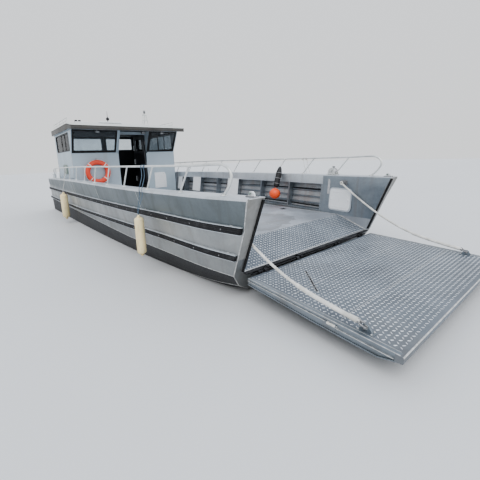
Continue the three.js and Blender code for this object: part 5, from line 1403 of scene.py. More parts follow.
    # locker with two round lights
    g = Geo()
    u0, u1, v0, v1 = -5.95 * U, -5.30 * U, -1.00 * U, -0.74 * U
    c = ((u0 + u1) / 2, (v0 + v1) / 2)
    rows = [(0.004, 0.008), (0.0, 0.012), (0.0, 0.040), (0.005, 0.042), (0.005, 0.045), (0.0, 0.047), (0.0, 0.055), (0.006, 0.0615), (0.05, 0.062)]
    g.rings([[M(p, q, RT + zz) for p, q in rrect(u1 - u0 - 2 * d, v1 - v0 - 2 * d, 0.045, 6, *c)] for d, zz in rows], m=0)
    g.prism(rrect(0.11, 0.155, 0.01, 3, -5.46 * U, -0.918 * U), lambda a, b, t: M(a, b, RT + t), 0.060, 0.073, 1)
    for k in (-0.952, -0.884):
        p = M(-5.46 * U, k * U, RT + 0.070)
        g.lathe([(0, 0), (0.030, 0), (0.034, 0.006), (0.038, 0.012), (0.038, 0.046), (0.033, 0.054), (0.018, 0.055), (0, 0.055)], p, (0, 0, 1), 28, 1)
    for a, b in ((-0.40, 0), (0.40, 0)):
        g.obox(M(c[0] + a, v0 - 0.0005, RT + 0.043), (0.022, 0, 0), (0, 0.003, 0), (0, 0, 0.010), 2)
    make("roof_locker_box", g, ["panel", "black", "steel"], replaces=["roof_locker"], bevel=0.0015, seg=1, angle=40)
    # hatch, aerial
    g = Geo()
    u0, u1, v0, v1 = -5.60 * U, -5.105 * U, -0.56 * U, -0.10 * U
    c = ((u0 + u1) / 2, (v0 + v1) / 2)
    rows = [(0.016, 0.012), (0.012, 0.030), (0.0, 0.032), (0.0, 0.052), (0.005, 0.058), (0.03, 0.0615), (0.2, 0.0618)]
    g.rings([[M(p, q, RT + zz) for p, q in rrect(u1 - u0 - 2 * d, v1 - v0 - 2 * d, 0.05, 6, *c)] for d, zz in rows], m=0)
    for b in (-0.16, 0.16):
        g.obox(M(u0 - 0.004, c[1] + b, RT + 0.040), (0.012, 0, 0), (0, 0.030, 0), (0, 0, 0.012), 2)
    p = M(-5.40 * U, -0.32 * U, RT)
    g.lathe([(0, 0.060), (0.028, 0.060), (0.028, 0.066), (0.013, 0.072), (0.012, 0.135), (0.016, 0.140), (0.034, 0.147), (0.046, 0.165), (0.048, 0.185), (0.045, 0.203), (0.036, 0.221), (0.018, 0.234), (0.008, 0.238), (0.006, 0.250), (0.0055, 0.30), (0.0035, 0.420), (0, 0.421)], p, (0, 0, 1), 24, 1)
    make("roof_hatch_and_aerial", g, ["panel", "black", "steel"], replaces=["roof_hatch"], bevel=0.0015, seg=1, angle=40)
    # floodlights under the brow
    g = Geo()
    x = -4.84 * U
    zt = under(x + 0.014) - 0.0003
    g.box(M(x - 0.014, -0.78 * U, zt - 0.012), M(x + 0.014, 0.74 * U, zt), 2)
    for y in (-0.72 * U, 0.24 * U, 0.68 * U):
        g.tube([M(x, y, zt - 0.004), M(x, y, zt - 0.034)], 0.012, 12, m=2)
        o = M(x, y, zt - 0.061)
        tl = rad(14)
        ex, ez = Vector((cos(tl), 0, -sin(tl))), Vector((sin(tl), 0, cos(tl)))
        for k in range(7):
            g.obox(o - ex * (0.030 - 0.0085 * k) * 1.0, ex * 0.0022, (0, 0.058, 0), ez * 0.026, 0)
        g.obox(o - ex * 0.004, ex * 0.024, (0, 0.052, 0), ez * 0.021, 0)
        fn = lambda u, v, t: o + Vector((0, u, 0)) + ez * v + ex * t
        frame_ring(g, fn, 0, 0, 0.104, 0.042, 0.009, 0.020, 0.034, 0.006, 0, 3)
        g.prism(rrect(0.106, 0.044, 0.006, 3), fn, 0.018, 0.029, 1)
        for sy in (-1, 1):
            g.obox(o + Vector((0, sy * 0.0585, 0.012)), ex * 0.010, (0, 0.0025, 0), (0, 0, 0.020), 2)
    make("flood_lamps", g, ["black", "lens", "steel"], replaces=["flood_lights"], bevel=0.0008, seg=1, angle=40)


# ------------------------------------------------------------------ inside the wheelhouse
def pillow(name, size, centre, tilt, puff=0.016):
    """upholstered block: a box of fabric panels blown up over its foam with the cloth solver, seams held"""
    sx, sy, sz = size
    nx, ny, nz = max(4, int(sx / 0.022)), max(4, int(sy / 0.022)), max(2, int(sz / 0.022))
    bm = bmesh.new()
    seen = {}

    def vert(i, j, k):
        if (i, j, k) not in seen:
            u, v, w = 2 * i / nx - 1, 2 * j / ny - 1, 2 * k / nz - 1
            # round the plan corners
            r = 0.22
            du, dv = max(0, abs(u) - (1 - r)), max(0, abs(v) - (1 - r))
            m = math.hypot(du, dv)
            if m > r:
                q = r / m
                u = math.copysign((1 - r) + du * q, u) if du else u
                v = math.copysign((1 - r) + dv * q, v) if dv else v
            seen[i, j, k] = bm.verts.new((u * sx / 2, v * sy / 2, w * sz / 2))
        return seen[i, j, k]

    def face(*q):
        bm.faces.new([vert(*p) for p in q])

    for i in range(nx):
        for j in range(ny):
            for k in (0, nz):
                face((i, j, k), (i + 1, j, k), (i + 1, j + 1, k), (i, j + 1, k))
    for k in range(nz):
        for i in range(nx):
            for j in (0, ny):
                face((i, j, k), (i + 1, j, k), (i + 1, j, k + 1), (i, j, k + 1))
        for j in range(ny):
            for i in (0, nx):
                face((i, j, k), (i, j + 1, k), (i, j + 1, k + 1), (i, j, k + 1))
    bmesh.ops.recalc_face_normals(bm, faces=bm.faces)
    me = bpy.data.meshes.new(name)
    bm.to_mesh(me)
    pins = [v.index for v in bm.verts if abs(abs(v.co.z) - sz / 2) < 1e-6 and (abs(abs(v.co.x) - sx / 2) < 0.004 or abs(abs(v.co.y) - sy / 2) < 0.004)]
    tuft = [v.index for v in bm.verts if v.co.z > sz / 2 - 1e-6 and abs((v.co.x / sx) * 3 % 1 - 0.5) > 0.5 - 1.6 / nx]
    bm.free()
    ob = bpy.data.objects.new(name, me)
    bpy.context.scene.collection.objects.link(ob)
    gp = ob.vertex_groups.new(name="held")
    gp.add(pins, 1.0, "REPLACE")
    gp.add([t for t in tuft if t not in set(pins)], 0.55, "REPLACE")
    cl = ob.modifiers.new("cloth", "CLOTH")
    st = cl.settings
    st.quality, st.mass = 6, 0.35
    st.tension_stiffness = st.compression_stiffness = 35
    st.shear_stiffness, st.bending_stiffness = 20, 3
    st.use_pressure, st.uniform_pressure_force = True, 9
    st.vertex_group_mass = "held"
    st.effector_weights.gravity = 0.2
    st.air_damping = 4
    cl.point_cache.frame_start, cl.point_cache.frame_end = 1, 26
    sc = bpy.context.scene
    for fr in range(1, 27):
        sc.frame_set(fr)
    dg = bpy.context.evaluated_depsgraph_get()
    new = bpy.data.meshes.new_from_object(ob.evaluated_get(dg))
    sc.frame_set(1)
    ob.modifiers.clear()
    ob.vertex_groups.clear()
    ob.data = new
    # keep the blown shape inside the foam's own block plus a little crown
    for v in new.vertices:
        v.co.x = max(-sx / 2 - puff * 0.5, min(sx / 2 + puff * 0.5, v.co.x))
        v.co.y = max(-sy / 2 - puff * 0.5, min(sy / 2 + puff * 0.5, v.co.y))
        v.co.z = max(-sz / 2 - puff, min(sz / 2 + puff, v.co.z))
    new.transform(Matrix.Translation(centre) @ Matrix.Rotation(tilt, 4, "Y"))
    new.materials.clear()
    new.materials.append(MT["seat"])
    for p in new.polygons:
        p.use_smooth = True
        p.material_index = 0
    ss = ob.modifiers.new("smooth", "SUBSURF")
    ss.levels = ss.render_levels = 1
    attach(ob, "boat")
    return ob


def inside():
    finish_node("helm_console", "dgrey", 0.012, 3)
    CFx = F - WALL
    # dash panel on the sloping top
    a, b = Vector((CFx - 0.170, 0, 1.13 * U)), Vector((CFx - 0.420, 0, 0.98 * U))
    e = (b - a).normalized()
    n = Vector((-e.z, 0, e.x)) if e.x > 0 else Vector((e.z, 0, -e.x))
    if n.z < 0:
        n = -n
    c = a.lerp(b, 0.5)
    fn = lambda u, v, t: M(c.x, v, c.z) + e * u + n * t
    g = Geo()
    for y, w in ((-0.88 * U, 0.30), (-0.60 * U, 0.24)):
        g.prism([(p, q + y) for p, q in rrect(0.20, w, 0.015, 4)], fn, 0.0003, 0.022, 0)
        g.prism([(p, q + y) for p, q in rrect(0.165, w - 0.04, 0.006, 3)], fn, 0.020, 0.0235, 1)
    for i in range(6):
        y = -0.455 * U + 0.0
        g.prism([(p - 0.08 + 0.03 * i, q + y) for p, q in rrect(0.020, 0.034, 0.004, 3)], fn, 0.0003, 0.010, 1)
    g.lathe([(0, 0), (0.030, 0), (0.030, 0.006), (0.012, 0.012), (0.010, 0.05), (0, 0.05)], fn(-0.06, -0.40 * U, 0.0), tuple(n), 20, 0)
    for d in (-0.02, 0.02):
        g.tube([fn(-0.06, -0.40 * U + d, 0.02), fn(-0.10, -0.40 * U + d, 0.10), fn(-0.12, -0.40 * U + d, 0.13)], 0.007, 10, m=2)
        g.dome(fn(-0.123, -0.40 * U + d, 0.135), tuple(n), 0.016, 0.02, 14, 0)
    make("helm_instruments", g, ["black", "screen", "steel"], bevel=0.0015, seg=2, angle=40)
    # wheel
    tl = rad(35)
    ax = Vector((-cos(tl), 0, sin(tl)))
    o = M(CFx - 0.470, -0.72 * U, 1.00 * U)
    u = Vector((0, 1, 0))
    v = ax.cross(u)
    g = Geo()
    g.tube([o + (u * cos(w) + v * sin(w)) * 0.190 for w in [2 * pi * k / 64 for k in range(64)]], 0.014, 14, loop=True, m=0, side=ax)
    for k in range(3):
        w = 2 * pi * k / 3 + pi / 2
        d = u * cos(w) + v * sin(w)
        g.tube([o + d * 0.03, o + d * 0.11 - ax * 0.006, o + d * 0.188], lambda t: 0.011 - 0.003 * t, 12, m=1)
    g.lathe([(0, -0.022), (0.030, -0.022), (0.040, -0.012), (0.040, 0.006), (0.034, 0.014), (0.016, 0.016), (0, 0.016)], o, tuple(ax), 28, 0)
    make("helm_wheel_rim", g, ["black", "steel"], body="helm_wheel", replaces=["steering_wheel"], angle=45)
    # seats
    for name, (x, y) in (("helm", (-6.28 * U, -0.72 * U)), ("crew", (-6.50 * U, 0.78 * U))):
        g = Geo()
        p = M(x, y, Z0)
        g.lathe([(0, 0), (0.190, 0), (0.190, 0.008), (0.176, 0.017), (0.060, 0.020), (0.048, 0.035), (0.045, 0.05), (0.045, 0.30), (0.036, 0.305), (0.036, 0.535), (0.060, 0.545), (0, 0.548)], p, (0, 0, 1), 32, 0)
        g.box(p + Vector((-0.19, -0.19, 0.535)), p + Vector((0.19, 0.19, 0.553)), 1)
        for k in range(6):
            w = 2 * pi * k / 6
            g.hexnut(p + Vector((0.155 * cos(w), 0.155 * sin(w), 0.017)), (0, 0, 1), 0.010, 0.008, 0)
        # back frame behind the back cushion
        for sy in (-0.17, 0.17):
            g.tube([p + Vector((-0.19, sy, 0.545)), p + Vector((-0.235, sy, 0.60)), p + Vector((-0.262, sy, 0.80)), p + Vector((-0.279, sy, 1.12))], 0.011, 12, m=0)
        make(f"{name}_seat_frame", g, ["steel", "black"], replaces=[f"{name}_seat"], bevel=0.002, seg=2, angle=40)
        pillow(f"{name}_seat_cushion", (0.455, 0.475, 0.095), p + Vector((0.005, 0, 0.604)), 0.0)
        t = math.atan2(-0.055, 0.60)
        pillow(f"{name}_seat_back", (0.58, 0.45, 0.075), p + Vector((-0.205, 0, 0.945)), -(pi / 2) - t * 1.0, 0.012)


# ------------------------------------------------------------------ loose gear that belongs to the boat
def life_ring():
    o = M(F + 0.078, -0.700 * U, 0.732 * U)
    X, Y, Z = Vector((1, 0, 0)), Vector((0, 1, 0)), Vector((0, 0, 1))
    g = Geo()
    N, n = 128, 22
    bands = [rad(d) for d in (45, 135, 225, 315)]
    rings, near = [], []
    for i in range(N):
        w = 2 * pi * i / N
        d = Y * cos(w) + Z * sin(w)
        k = min(abs((w - b + pi) % (2 * pi) - pi) for b in bands)
        near.append(k < rad(5.2))
        grow = 0.0022 if near[-1] else -0.001
        ring = []
        for j in range(n):
            a = 2 * pi * j / n
            ca, sa = cos(a), sin(a)
            q = (abs(ca) ** 2.4 + abs(sa) ** 2.4) ** (-1 / 2.4)
            ring.append(o + d * (0.290 + (0.072 + grow) * ca * q) + X * (0.052 + grow) * sa * q)
        rings.append(ring)
    for i in range(N):
        g.rings([rings[i], rings[(i + 1) % N]], caps=False, m=1 if near[i] and near[(i + 1) % N] else 0)
    make("life_ring_body", g, ["orange", "band"], replaces=["life_ring"], angle=60, weld=1e-5)
    # grab line held by the bands
    pts = []
    for i in range(96):
        w = 2 * pi * i / 96 + bands[0]
        f = (w - bands[0]) % (pi / 2) / (pi / 2)
        r = 0.3675 + 0.001 * sin(9 * w)
        sag = 0.012 * sin(pi * f)
        d = Y * cos(w) + Z * sin(w)
        pts.append(o + d * (r - sag * 0.2) + X * (0.012 + 0.022 * sin(pi * f)))
    g = Geo()
    g.tube(pts + [pts[0]], 0.0042, 8, caps=False)
    make("life_ring_grab_line", g, ["rope"], angle=60)
    g = Geo()
    for y, z in ((-0.17, -0.349), (0.17, -0.349)):
        c = o + Vector((0, y, z))
        base = Vector((F + OX, c.y, c.z))
        g.obox(base + Vector((0.003, 0, 0.01)), (0.003, 0, 0), (0, 0.022, 0), (0, 0, 0.045))
        g.tube(spline([base + Vector((0.005, 0, -0.012)), base + Vector((0.06, 0, -0.020)), base + Vector((0.125, 0, -0.014)), base + Vector((0.138, 0, 0.022))], 6), 0.006, 10)
    base = Vector((F + OX, o.y, o.z + 0.33))
    g.obox(base + Vector((0.003, 0, 0.045)), (0.003, 0, 0), (0, 0.025, 0), (0, 0, 0.025))
    make("life_ring_hooks", g, ["steel"], bevel=0.001, seg=1, angle=45)


def fenders():
    for s in (-1, 1):
        side = "starboard" if s < 0 else "port"
        for which, x, yy, top, r, L in (("forward", -1.14, 1.402, 0.408, 0.065, 0.610), ("aft", -4.95, 1.452, 0.385, 0.091, 0.760)):
            at_top = W(x, s * yy, top)
            k = r / 0.11
            prof = [(0, -0.001), (0.020 * k, -0.001), (0.024 * k, -0.006), (0.024 * k, -0.018 * k)]
            # ribbed neck, shoulder, body, shoulder, neck
            for i in range(3):
                z = -0.022 * k - 0.014 * k * i
                prof += [(0.026 * k + 0.008 * k * i, z), (0.034 * k + 0.009 * k * i, z - 0.005 * k), (0.030 * k + 0.009 * k * i, z - 0.011 * k)]
            z0 = -0.066 * k
            for i in range(9):
                a = pi / 2 * i / 8
                prof.append((0.052 * k + (r - 0.052 * k) * sin(a), z0 - 0.062 * k * (1 - cos(a))))
            top_part = list(prof)
            n = 10
            zb0, zb1 = top_part[-1][1], -L - top_part[-1][1]
            body = [(r * (1 + 0.004 * sin(9 * i)), zb0 + (zb1 - zb0) * i / n) for i in range(1, n)]
            prof = top_part + body + [(a, -L - z) for a, z in reversed(top_part)]
            g = Geo()
            g.lathe(prof, at_top, (0, 0, 1), 36, 0)
            for q, z in ((1, 0.0), (-1, -L)):
                pass
            name = f"fender_{which}_{side}"
            make(f"{name}_skin", g, ["cream"], replaces=[name], angle=40)
            h = hull_at(x)
            # lines up over the gunwale to the rail
            xs = (-0.046, 0.050) if which == "forward" else (0.0,)
            back = 0.045 if which == "forward" else 0.06
            line_mat = "blue" if which == "forward" and s < 0 else "rope"
            i0 = int((0.016 - x) / 0.606)
            for j, dx in enumerate(xs):
                rail_y, rail_z = rail_top(x - back)
                hb = hull_at(x - back * 0.42)
                p = [at_top + Vector((dx * 0.12, 0, -0.006)), at_top + Vector((dx * 0.35, 0, 0.06)), W(x - back * 0.3, s * (h.capY + 0.007), h.capZ - 0.05) + Vector((dx, 0, 0)), W(x - back * 0.42, s * (hb.capY + 0.004), hb.capZ + 0.006) + Vector((dx, 0, 0)),
                     W(x - back * 0.72, s * (rail_y + 0.018), rail_z - 0.10) + Vector((dx, 0, 0)), W(x - back, s * (rail_y + 0.0135), rail_z) + Vector((dx, 0, 0))]
                line = spline(p, 6)
                g = Geo()
                g.rope(line, 0.0048, 0.028, 3, 5)
                ob = make(f"{name}_line_{j + 1}", g, [line_mat], angle=70)
            # hitch round the rail
            g = Geo()
            c = W(x - back, s * rail_y, rail_z) + Vector((0, 0, -0.0015))
            for d in [dx + e_ for dx in xs for e_ in (-0.0100, 0.0, 0.0100)]:
                g.tube([c + Vector((d + 0.004 * sin(w), 0.0200 * cos(w), 0.0200 * sin(w))) for w in [2 * pi * k_ / 20 for k_ in range(20)]], 0.0046, 7, loop=True)
            make(f"{name}_hitch", g, [line_mat], angle=70)


def marker_buoy():
    x = -1.60
    P = lambda y, z: W(x, y, z)
    g = Geo()
    c = P(1.05, 0.335)
    prof = [(0, -0.125), (0.014, -0.124), (0.016, -0.118)]
    for i in range(1, 16):
        a = -pi / 2 + pi * i / 16
        prof.append((0.1235 * cos(a), 0.119 * sin(a)))
    prof += [(0.022, 0.118), (0.024, 0.124), (0.014, 0.125), (0, 0.125)]
    g.lathe(prof, c, (0, 0, 1), 36, 0)
    d = (P(1.082, 0.445) - c).normalized()
    g.tube([c + d * 0.11, P(1.082, 0.445)], 0.011, 12, m=2)
    z = (P(1.0 + 0.115, 0.35 + 0.3) - P(1.0, 0.3)).normalized()
    prof = [(0, 0), (0.030, 0.002), (0.044, 0.010), (0.058, 0.034), (0.0655, 0.065), (0.0640, 0.12), (0.0655, 0.18), (0.0635, 0.25), (0.0655, 0.33), (0.055, 0.395), (0.040, 0.450), (0.024, 0.480), (0.013, 0.490), (0, 0.492)]
    g.lathe(prof, P(1.077, 0.432), tuple(z), 32, 1)
    for h_ in (0.09, 0.215, 0.34):
        a = z.orthogonal().normalized()
        b = z.cross(a)
        r = 0.0665
        o = P(1.077, 0.432) + z * h_
        g.tube([o + (a * cos(w) + b * sin(w)) * r for w in [2 * pi * k / 28 for k in range(28)]], 0.0035, 6, loop=True, m=3)
    make("marker_buoy_and_sleeve", g, ["buoy", "black", "rope", "webbing"], replaces=["marker_buoy"], angle=45)
    g = Geo()
    top = W(x, *rail_top(x))
    line = spline([P(1.180, 0.752), P(1.225, 0.806), P(1.266, 0.856), P(1.289, 0.879)], 6)
    g.rope(line, 0.0075, 0.04, 3, 6)
    for d_ in (-0.013, 0.0, 0.013):
        g.tube([Vector((line[-1].x + d_, top.y + 0.0210 * cos(w), top.z + 0.0210 * sin(w))) for w in [2 * pi * k_ / 20 for k_ in range(20)]], 0.0062, 7, loop=True)
    make("marker_buoy_line", g, ["rope"], angle=70)


def boards_and_fittings():
    # white boards along the bulwarks, hatch in the bow box, panel on the wheelhouse front
    for s in (-1, 1):
        side = "starboard" if s < 0 else "port"
        g = Geo()
        n = Vector((0, -s, 0))
        for x1, x0 in ((-5.22, -5.02), (-4.49, -4.16), (-3.10, -2.76)):
            cx, w = (x0 + x1) / 2, (x0 - x1) * U
            h = hull_at(cx)
            za, zb = 0.195, min(0.525, h.capZ - 0.12)
            ya, yb = face_y(h, za) - 0.0015, face_y(h, zb) - 0.0015
            lo, hi = W(cx, s * ya, za), W(cx, s * yb, zb)
            up = hi - lo
            L = up.length
            up.normalize()
            nn = Vector((1, 0, 0)).cross(up).normalized()
            if nn.dot(n) < 0:
                nn = -nn
            fn = lambda u, v, t, lo=lo, up=up, nn=nn, L=L: lo + Vector((u, 0, 0)) + up * (L / 2 + v) + nn * t
            g.prism(rrect(w, L, 0.03, 5), fn, 0.0, 0.010, 0)
            for a, b in ((-0.42, -0.42), (0.42, -0.42), (-0.42, 0.42), (0.42, 0.42)):
                g.dome(fn(a * w, b * L, 0.0102), tuple(nn), 0.008, 0.004, 10, 1)
        make(f"bulwark_boards_{side}", g, ["panel", "steel"], bevel=0.002, seg=2, angle=40)
        g = Geo()
        x0, x1, z0, z1 = -0.598, -0.292, 0.190, 0.492
        cx, cz = (x0 + x1) / 2, (z0 + z1) / 2
        ya, yb = side_inner(cx, z0), side_inner(cx, z1)
        xa, xb = cx + rake(cx) * z0, cx + rake(cx) * z1
        lo, hi = W(xa, s * ya, z0), W(xb, s * yb, z1)
        up = hi - lo
        up.x = 0
        L = up.length
        up.normalize()
        fw = at(x1, s * side_inner(x1, cz), cz) - at(x0, s * side_inner(x0, cz), cz)
        w = fw.length
        fw.normalize()
        nn = fw.cross(up).normalized()
        if nn.dot(n) < 0:
            nn = -nn
        c = at(cx, s * side_inner(cx, cz), cz) + nn * 0.001
        fn = lambda u, v, t: c + fw * u + up * v + nn * t
        g.prism(rrect(w * 0.98, L, 0.075, 7), fn, -0.004, 0.007, 1)
        g.prism(rrect(w * 0.98 - 0.05, L - 0.05, 0.06, 7), fn, 0.005, 0.017, 0)
        frame_ring(g, lambda u, v, t: fn(u, v, t), 0, 0, w * 0.98 - 0.17, L - 0.17, 0.018, 0.0165, 0.020, 0.03, 0)
        for a in (-0.36, 0.36):
            g.lathe([(0, 0.016), (0.020, 0.016), (0.020, 0.020), (0.016, 0.023), (0, 0.023)], fn(a * w, 0, 0), tuple(nn), 20, 0)
        make(f"bow_hatch_{side}", g, ["panel", "cap", "black"], bevel=0.002, seg=2, angle=40)
        # latch on the bow tip
        g = Geo()
        b = at(-0.045, s * 1.062, 0.660) + Vector((0, 0, 0.0005))
        g.obox(b + Vector((0, 0, 0.004)), (0.060, 0, 0), (0, 0.040, 0), (0, 0, 0.004), 1)
        g.prism([(-0.045, 0.0), (0.045, 0.0), (0.036, 0.030), (0.012, 0.050), (-0.020, 0.050), (-0.040, 0.028)], lambda u, v, t: b + Vector((u, t, 0.006 + v)), -0.012, 0.012, 0)
        g.tube([b + Vector((-0.005, -0.030, 0.036)), b + Vector((-0.005, 0.030, 0.036))], 0.009, 12, m=2)
        g.dome(b + Vector((-0.005, 0.030, 0.036)), (0, 1, 0), 0.014, 0.006, 14, 2)
        g.dome(b + Vector((-0.005, -0.030, 0.036)), (0, -1, 0), 0.014, 0.006, 14, 2)
        for a, q in ((-0.048, -0.028), (0.048, -0.028), (-0.048, 0.028), (0.048, 0.028)):
            g.hexnut(b + Vector((a, q, 0.008)), (0, 0, 1), 0.007, 0.006, 1)
        make(f"bow_latch_{side}", g, ["white", "steel", "dgreen"], bevel=0.0015, seg=2, angle=40)
        # mooring bitts on the aft side deck
        g = Geo()
        h = hull_at(-6.9)
        c = W(-6.9, s * (h.capY - 0.075), h.capZ) + Vector((0, 0, 0.0005))
        g.obox(c + Vector((0, 0, 0.005)), (0.15, 0, 0), (0, 0.045, 0), (0, 0, 0.005), 0)
        for a in (-0.085, 0.085):
            g.lathe([(0, 0.008), (0.032, 0.008), (0.030, 0.014), (0.030, 0.125), (0.038, 0.130), (0.040, 0.138), (0.034, 0.146), (0, 0.148)], c + Vector((a, 0, 0)), (0, 0, 1), 28, 0)
        g.tube([c + Vector((-0.14, 0, 0.085)), c + Vector((0.14, 0, 0.085))], 0.011, 14, m=0)
        make(f"aft_bitts_{side}", g, ["cap"], bevel=0.002, seg=2, angle=40)
    # panel with one clipped corner on the port front
    g = Geo()
    out = [(0.60, 0.262), (0.90, 0.262), (0.90, 0.565), (0.865, 0.640), (0.615, 0.640), (0.60, 0.625)]
    g.prism([(a * U, b * U) for a, b in out], lambda u, v, t: M(F + t, u, v), 0.0008, 0.026, 0)
    for a, b in ((0.63, 0.29), (0.87, 0.29), (0.63, 0.605), (0.84, 0.605)):
        g.dome(M(F + 0.0262, a * U, b * U), (1, 0, 0), 0.008, 0.004, 12, 1)
    make("wheelhouse_panel", g, ["panel", "steel"], bevel=0.006, seg=3, angle=40)
    # hand winch with its strap on the port gunwale
    g = Geo()
    a, b = W(-0.698, 1.175, 0.660), W(-0.50, 1.175, 0.660)
    c = (a + b) / 2 + Vector((0.0, 0, 0.0008))
    g.obox(c + Vector((0, 0, 0.004)), (0.11, 0, 0), (0, 0.075, 0), (0, 0, 0.004), 0)
    for q in (-0.062, 0.062):
        g.prism([(-0.085, 0.0), (0.085, 0.0), (0.060, 0.085), (0.030, 0.110), (-0.030, 0.110), (-0.060, 0.085)], lambda u, v, t, q=q: c + Vector((u, q + t, 0.006 + v)), -0.004, 0.004, 0)
    g.lathe([(0, -0.060), (0.060, -0.060), (0.060, -0.054), (0.044, -0.052), (0.047, -0.02), (0.046, 0.01), (0.048, 0.03), (0.044, 0.052), (0.060, 0.054), (0.060, 0.060), (0, 0.060)], c + Vector((0, 0, 0.066)), (0, 1, 0), 32, 1)
    g.tube([c + Vector((0, -0.090, 0.066)), c + Vector((0, 0.072, 0.066))], 0.010, 14, m=0)
    for q in (-0.085,):
        g.tube([c + Vector((0, q, 0.066)), c + Vector((0.05, q, 0.115)), c + Vector((0.085, q, 0.150))], 0.008, 10, m=0)
        g.tube([c + Vector((0.085, q + 0.005, 0.150)), c + Vector((0.085, q - 0.05, 0.150))], 0.013, 12, m=2)
    # strap over the inner edge and down the bow box
    y0 = (hull_at(-0.62).capY - hull_at(-0.62).capW) * U
    sx = c.x
    edge = [(c.y - 0.046, c.z + 0.050), (y0 + 0.040, OZ + 0.660 * U + 0.010), (y0 + 0.004, OZ + 0.660 * U + 0.006), (y0 - 0.008, OZ + 0.655 * U - 0.004)]
    for z in (0.60, 0.54, 0.47, 0.40):
        edge.append((side_inner(-0.62, z) * U - 0.006, OZ + z * U))
    prof = edge
    v0, f0 = [], []
    for i, (yy, zz) in enumerate(prof):
        j0, j1 = prof[max(0, i - 1)], prof[min(len(prof) - 1, i + 1)]
        t = Vector((0, j1[0] - j0[0], j1[1] - j0[1])).normalized()
        nn = Vector((0, -t.z, t.y))
        rx = sx - (0.0 if i < 3 else 0.0)
        v0.append([Vector((rx - 0.024, yy, zz)) + nn * 0.0015, Vector((rx + 0.024, yy, zz)) + nn * 0.0015, Vector((rx + 0.024, yy, zz)) - nn * 0.0015, Vector((rx - 0.024, yy, zz)) - nn * 0.0015])
    g.rings(v0, m=1)
    make("bow_hand_winch", g, ["tube", "webbing", "dgrey"], bevel=0.001, seg=1, angle=40)
    # small white post on the port gunwale
    g = Geo()
    h = hull_at(-3.90)
    c = W(-3.90, h.capY - 0.105, h.capZ)
    g.lathe([(0, 0.001), (0.036, 0.001), (0.036, 0.008), (0.016, 0.012), (0.014, 0.075), (0.020, 0.080), (0.020, 0.100), (0.012, 0.110), (0, 0.111)], c, (0, 0, 1), 24, 0)
    make("gunwale_post", g, ["white"], angle=40)


def aft_part():
    finish_node("aft_deck", "cap", 0.004, 2)
    zt = 0.50 * U
    g = Geo()
    for y in (-0.62, 0.62):
        c = (-7.185 * U, y)
        fn = lambda u, v, t, c=c: M(c[0] + u, c[1] + v, zt + t)
        g.prism(rrect(0.52, 0.86, 0.05, 5), fn, 0.0004, 0.006, 0)
        g.prism(rrect(0.48, 0.82, 0.04, 5), fn, 0.005, 0.020, 0)
        for q in (-0.30, 0.30):
            g.lathe([(0, 0.0195), (0.030, 0.0195), (0.030, 0.022), (0.024, 0.0235), (0, 0.0235)], fn(0.19, q, 0.0), (0, 0, 1), 20, 1)
            g.obox(fn(-0.245, q, 0.016), (0.018, 0, 0), (0, 0.040, 0), (0, 0, 0.006), 1)
    tread_field(g, M(-7.185 * U - 0.22, -0.62, zt + 0.020), Vector((1, 0, 0)), Vector((0, 1, 0)), Vector((0, 0, 1)), 0.42, 0.36, 0.0445, m=2)
    tread_field(g, M(-7.185 * U - 0.22, 0.62, zt + 0.020), Vector((1, 0, 0)), Vector((0, 1, 0)), Vector((0, 0, 1)), 0.42, 0.36, 0.0445, m=2)
    make("aft_deck_hatches", g, ["inner", "steel", "rib"], bevel=0.0015, seg=1, angle=60)
    # jets stay as packed; flange bolts and a weld ring around them
    for n, s in (("starboard", -1), ("port", 1)):
        finish_node(f"jet_housing_{n}", "cast", 0.003, 2)
        finish_node(f"steering_nozzle_{n}", "cast", 0.002, 2)
        finish_node(f"reverse_bucket_{n}", "cast", 0.002, 2)
        g = Geo()
        o = M(TRANSOM * U - 0.0003, s * 0.620, -0.352)
        for k in range(12):
            w = 2 * pi * (k + 0.5) / 12
            g.hexnut(o + Vector((-0.026, 0.188 * cos(w), 0.188 * sin(w))), (-1, 0, 0), 0.010, 0.009, 0)
        g.tube([o + Vector((-0.024, 0.160 * cos(w), 0.160 * sin(w))) for w in [2 * pi * k / 40 for k in range(40)]], 0.0045, 6, loop=True, m=1)
        make(f"jet_flange_bolts_{n}", g, ["steel", "weld"], angle=40)
    # transom: step plate, exhaust outlets, anodes (guessed)
    g = Geo()
    for s in (-1, 1):
        for y, z in ((1.15, -0.33), (0.25, -0.40)):
            c = M(TRANSOM * U, s * y, z)
            g.prism(rrect(0.20, 0.075, 0.02, 4), lambda u, v, t, c=c: c + Vector((-t, u, v)), 0.0003, 0.026, 0)
            for q in (-0.07, 0.07):
                g.dome(c + Vector((-0.0262, q, 0)), (-1, 0, 0), 0.010, 0.006, 10, 1)
        c = M(TRANSOM * U, s * 1.30, 0.02)
        g.lathe([(0.052, 0.0), (0.062, 0.0), (0.062, 0.012), (0.055, 0.016), (0.055, 0.040), (0.047, 0.040), (0.047, 0.0)], c, (-1, 0, 0), 28, 1, loop=True)
        g.lathe([(0, 0.001), (0.048, 0.001), (0.048, 0.003), (0, 0.003)], c, (-1, 0, 0), 24, 2)
    make("transom_fittings", g, ["cast", "steel", "black"], bevel=0.003, seg=2, angle=40)


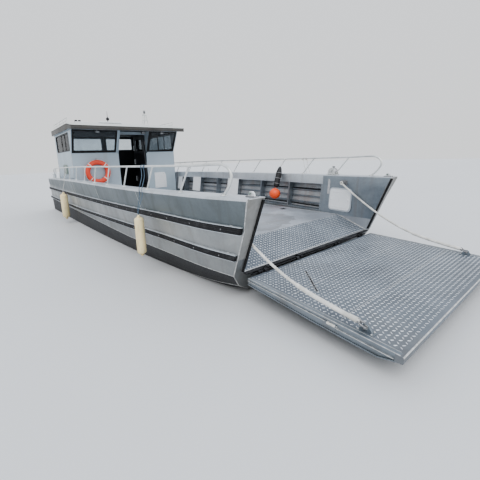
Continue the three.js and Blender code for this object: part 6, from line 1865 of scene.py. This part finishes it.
# ------------------------------------------------------------------ studio
def studio():
    sc = bpy.context.scene
    me = bpy.data.meshes.new("studio_floor")
    s, z = 60.0, WATER
    N = 24
    v = [(-s + 2 * s * i / N, -s + 2 * s * j / N, z) for i in range(N + 1) for j in range(N + 1)]
    f = [(i * (N + 1) + j, (i + 1) * (N + 1) + j, (i + 1) * (N + 1) + j + 1, i * (N + 1) + j + 1) for i in range(N) for j in range(N)]
    me.from_pydata(v, [], f)
    ob = bpy.data.objects.new("studio_floor", me)
    sc.collection.objects.link(ob)
    m = Mat("studio_floor").set(Metallic=0.0)
    a = m.noise(0.35, 4, 0.5)
    m.to("Base Color", m.mix(a, (0.70, 0.705, 0.71), (0.745, 0.75, 0.755)))
    m.to("Roughness", m.span(a, 0.3, 0.7, 0.55, 0.65))
    me.materials.append(m.m)
    w = bpy.data.worlds.new("studio")
    sc.world = w
    w.use_nodes = True
    nt = w.node_tree
    bg = nt.nodes["Background"]
    tc, sep = nt.nodes.new("ShaderNodeTexCoord"), nt.nodes.new("ShaderNodeSeparateXYZ")
    rp = nt.nodes.new("ShaderNodeValToRGB")
    nt.links.new(tc.outputs["Generated"], sep.inputs[0])
    nt.links.new(sep.outputs[2], rp.inputs[0])
    e = rp.color_ramp.elements
    e[0].position, e[0].color = 0.0, (0.80, 0.81, 0.82, 1)
    e[1].position, e[1].color = 0.95, (0.62, 0.70, 0.82, 1)
    x = e.new(0.45)
    x.color = (0.80, 0.82, 0.85, 1)
    nt.links.new(rp.outputs[0], bg.inputs[0])
    bg.inputs[1].default_value = 0.92

    def sun(name, az, el, power, col, angle):
        d = bpy.data.lights.new(name, "SUN")
        d.energy, d.color, d.angle = power, col, rad(angle)
        o = bpy.data.objects.new(name, d)
        sc.collection.objects.link(o)
        v = Vector((cos(rad(el)) * cos(rad(az)), cos(rad(el)) * sin(rad(az)), sin(rad(el))))
        o.rotation_euler = (-v).to_track_quat("-Z", "Y").to_euler()

    sun("key", -50, 52, 1.15, (1.0, 0.985, 0.96), 50)
    sun("fill", 35, 35, 0.40, (0.93, 0.96, 1.0), 70)
    sc.view_settings.view_transform = "AgX"
    sc.view_settings.look = "AgX - Medium High Contrast"
    sc.view_settings.exposure = 0.25


# ------------------------------------------------------------------ build
MT["dgreen"] = painted("grey_green_cover", (0.165, 0.215, 0.195), (0.23, 0.285, 0.255))
MT["screen"] = plastic("display_face", (0.006, 0.008, 0.010), (0.014, 0.018, 0.022), (0.06, 0.14), 60, 0.02)

ramp_ropes()
hull_piece()
for sgn in (-1, 1):
    side_shell(sgn)
    bulwark_frames(sgn)
    strakes(sgn)
    handrail(sgn)
welds()
apron()
ramp()
hinge_gear()
cabin()
door_gear()
roof()
inside()
life_ring()
fenders()
marker_buoy()
boards_and_fittings()
aft_part()
studio()
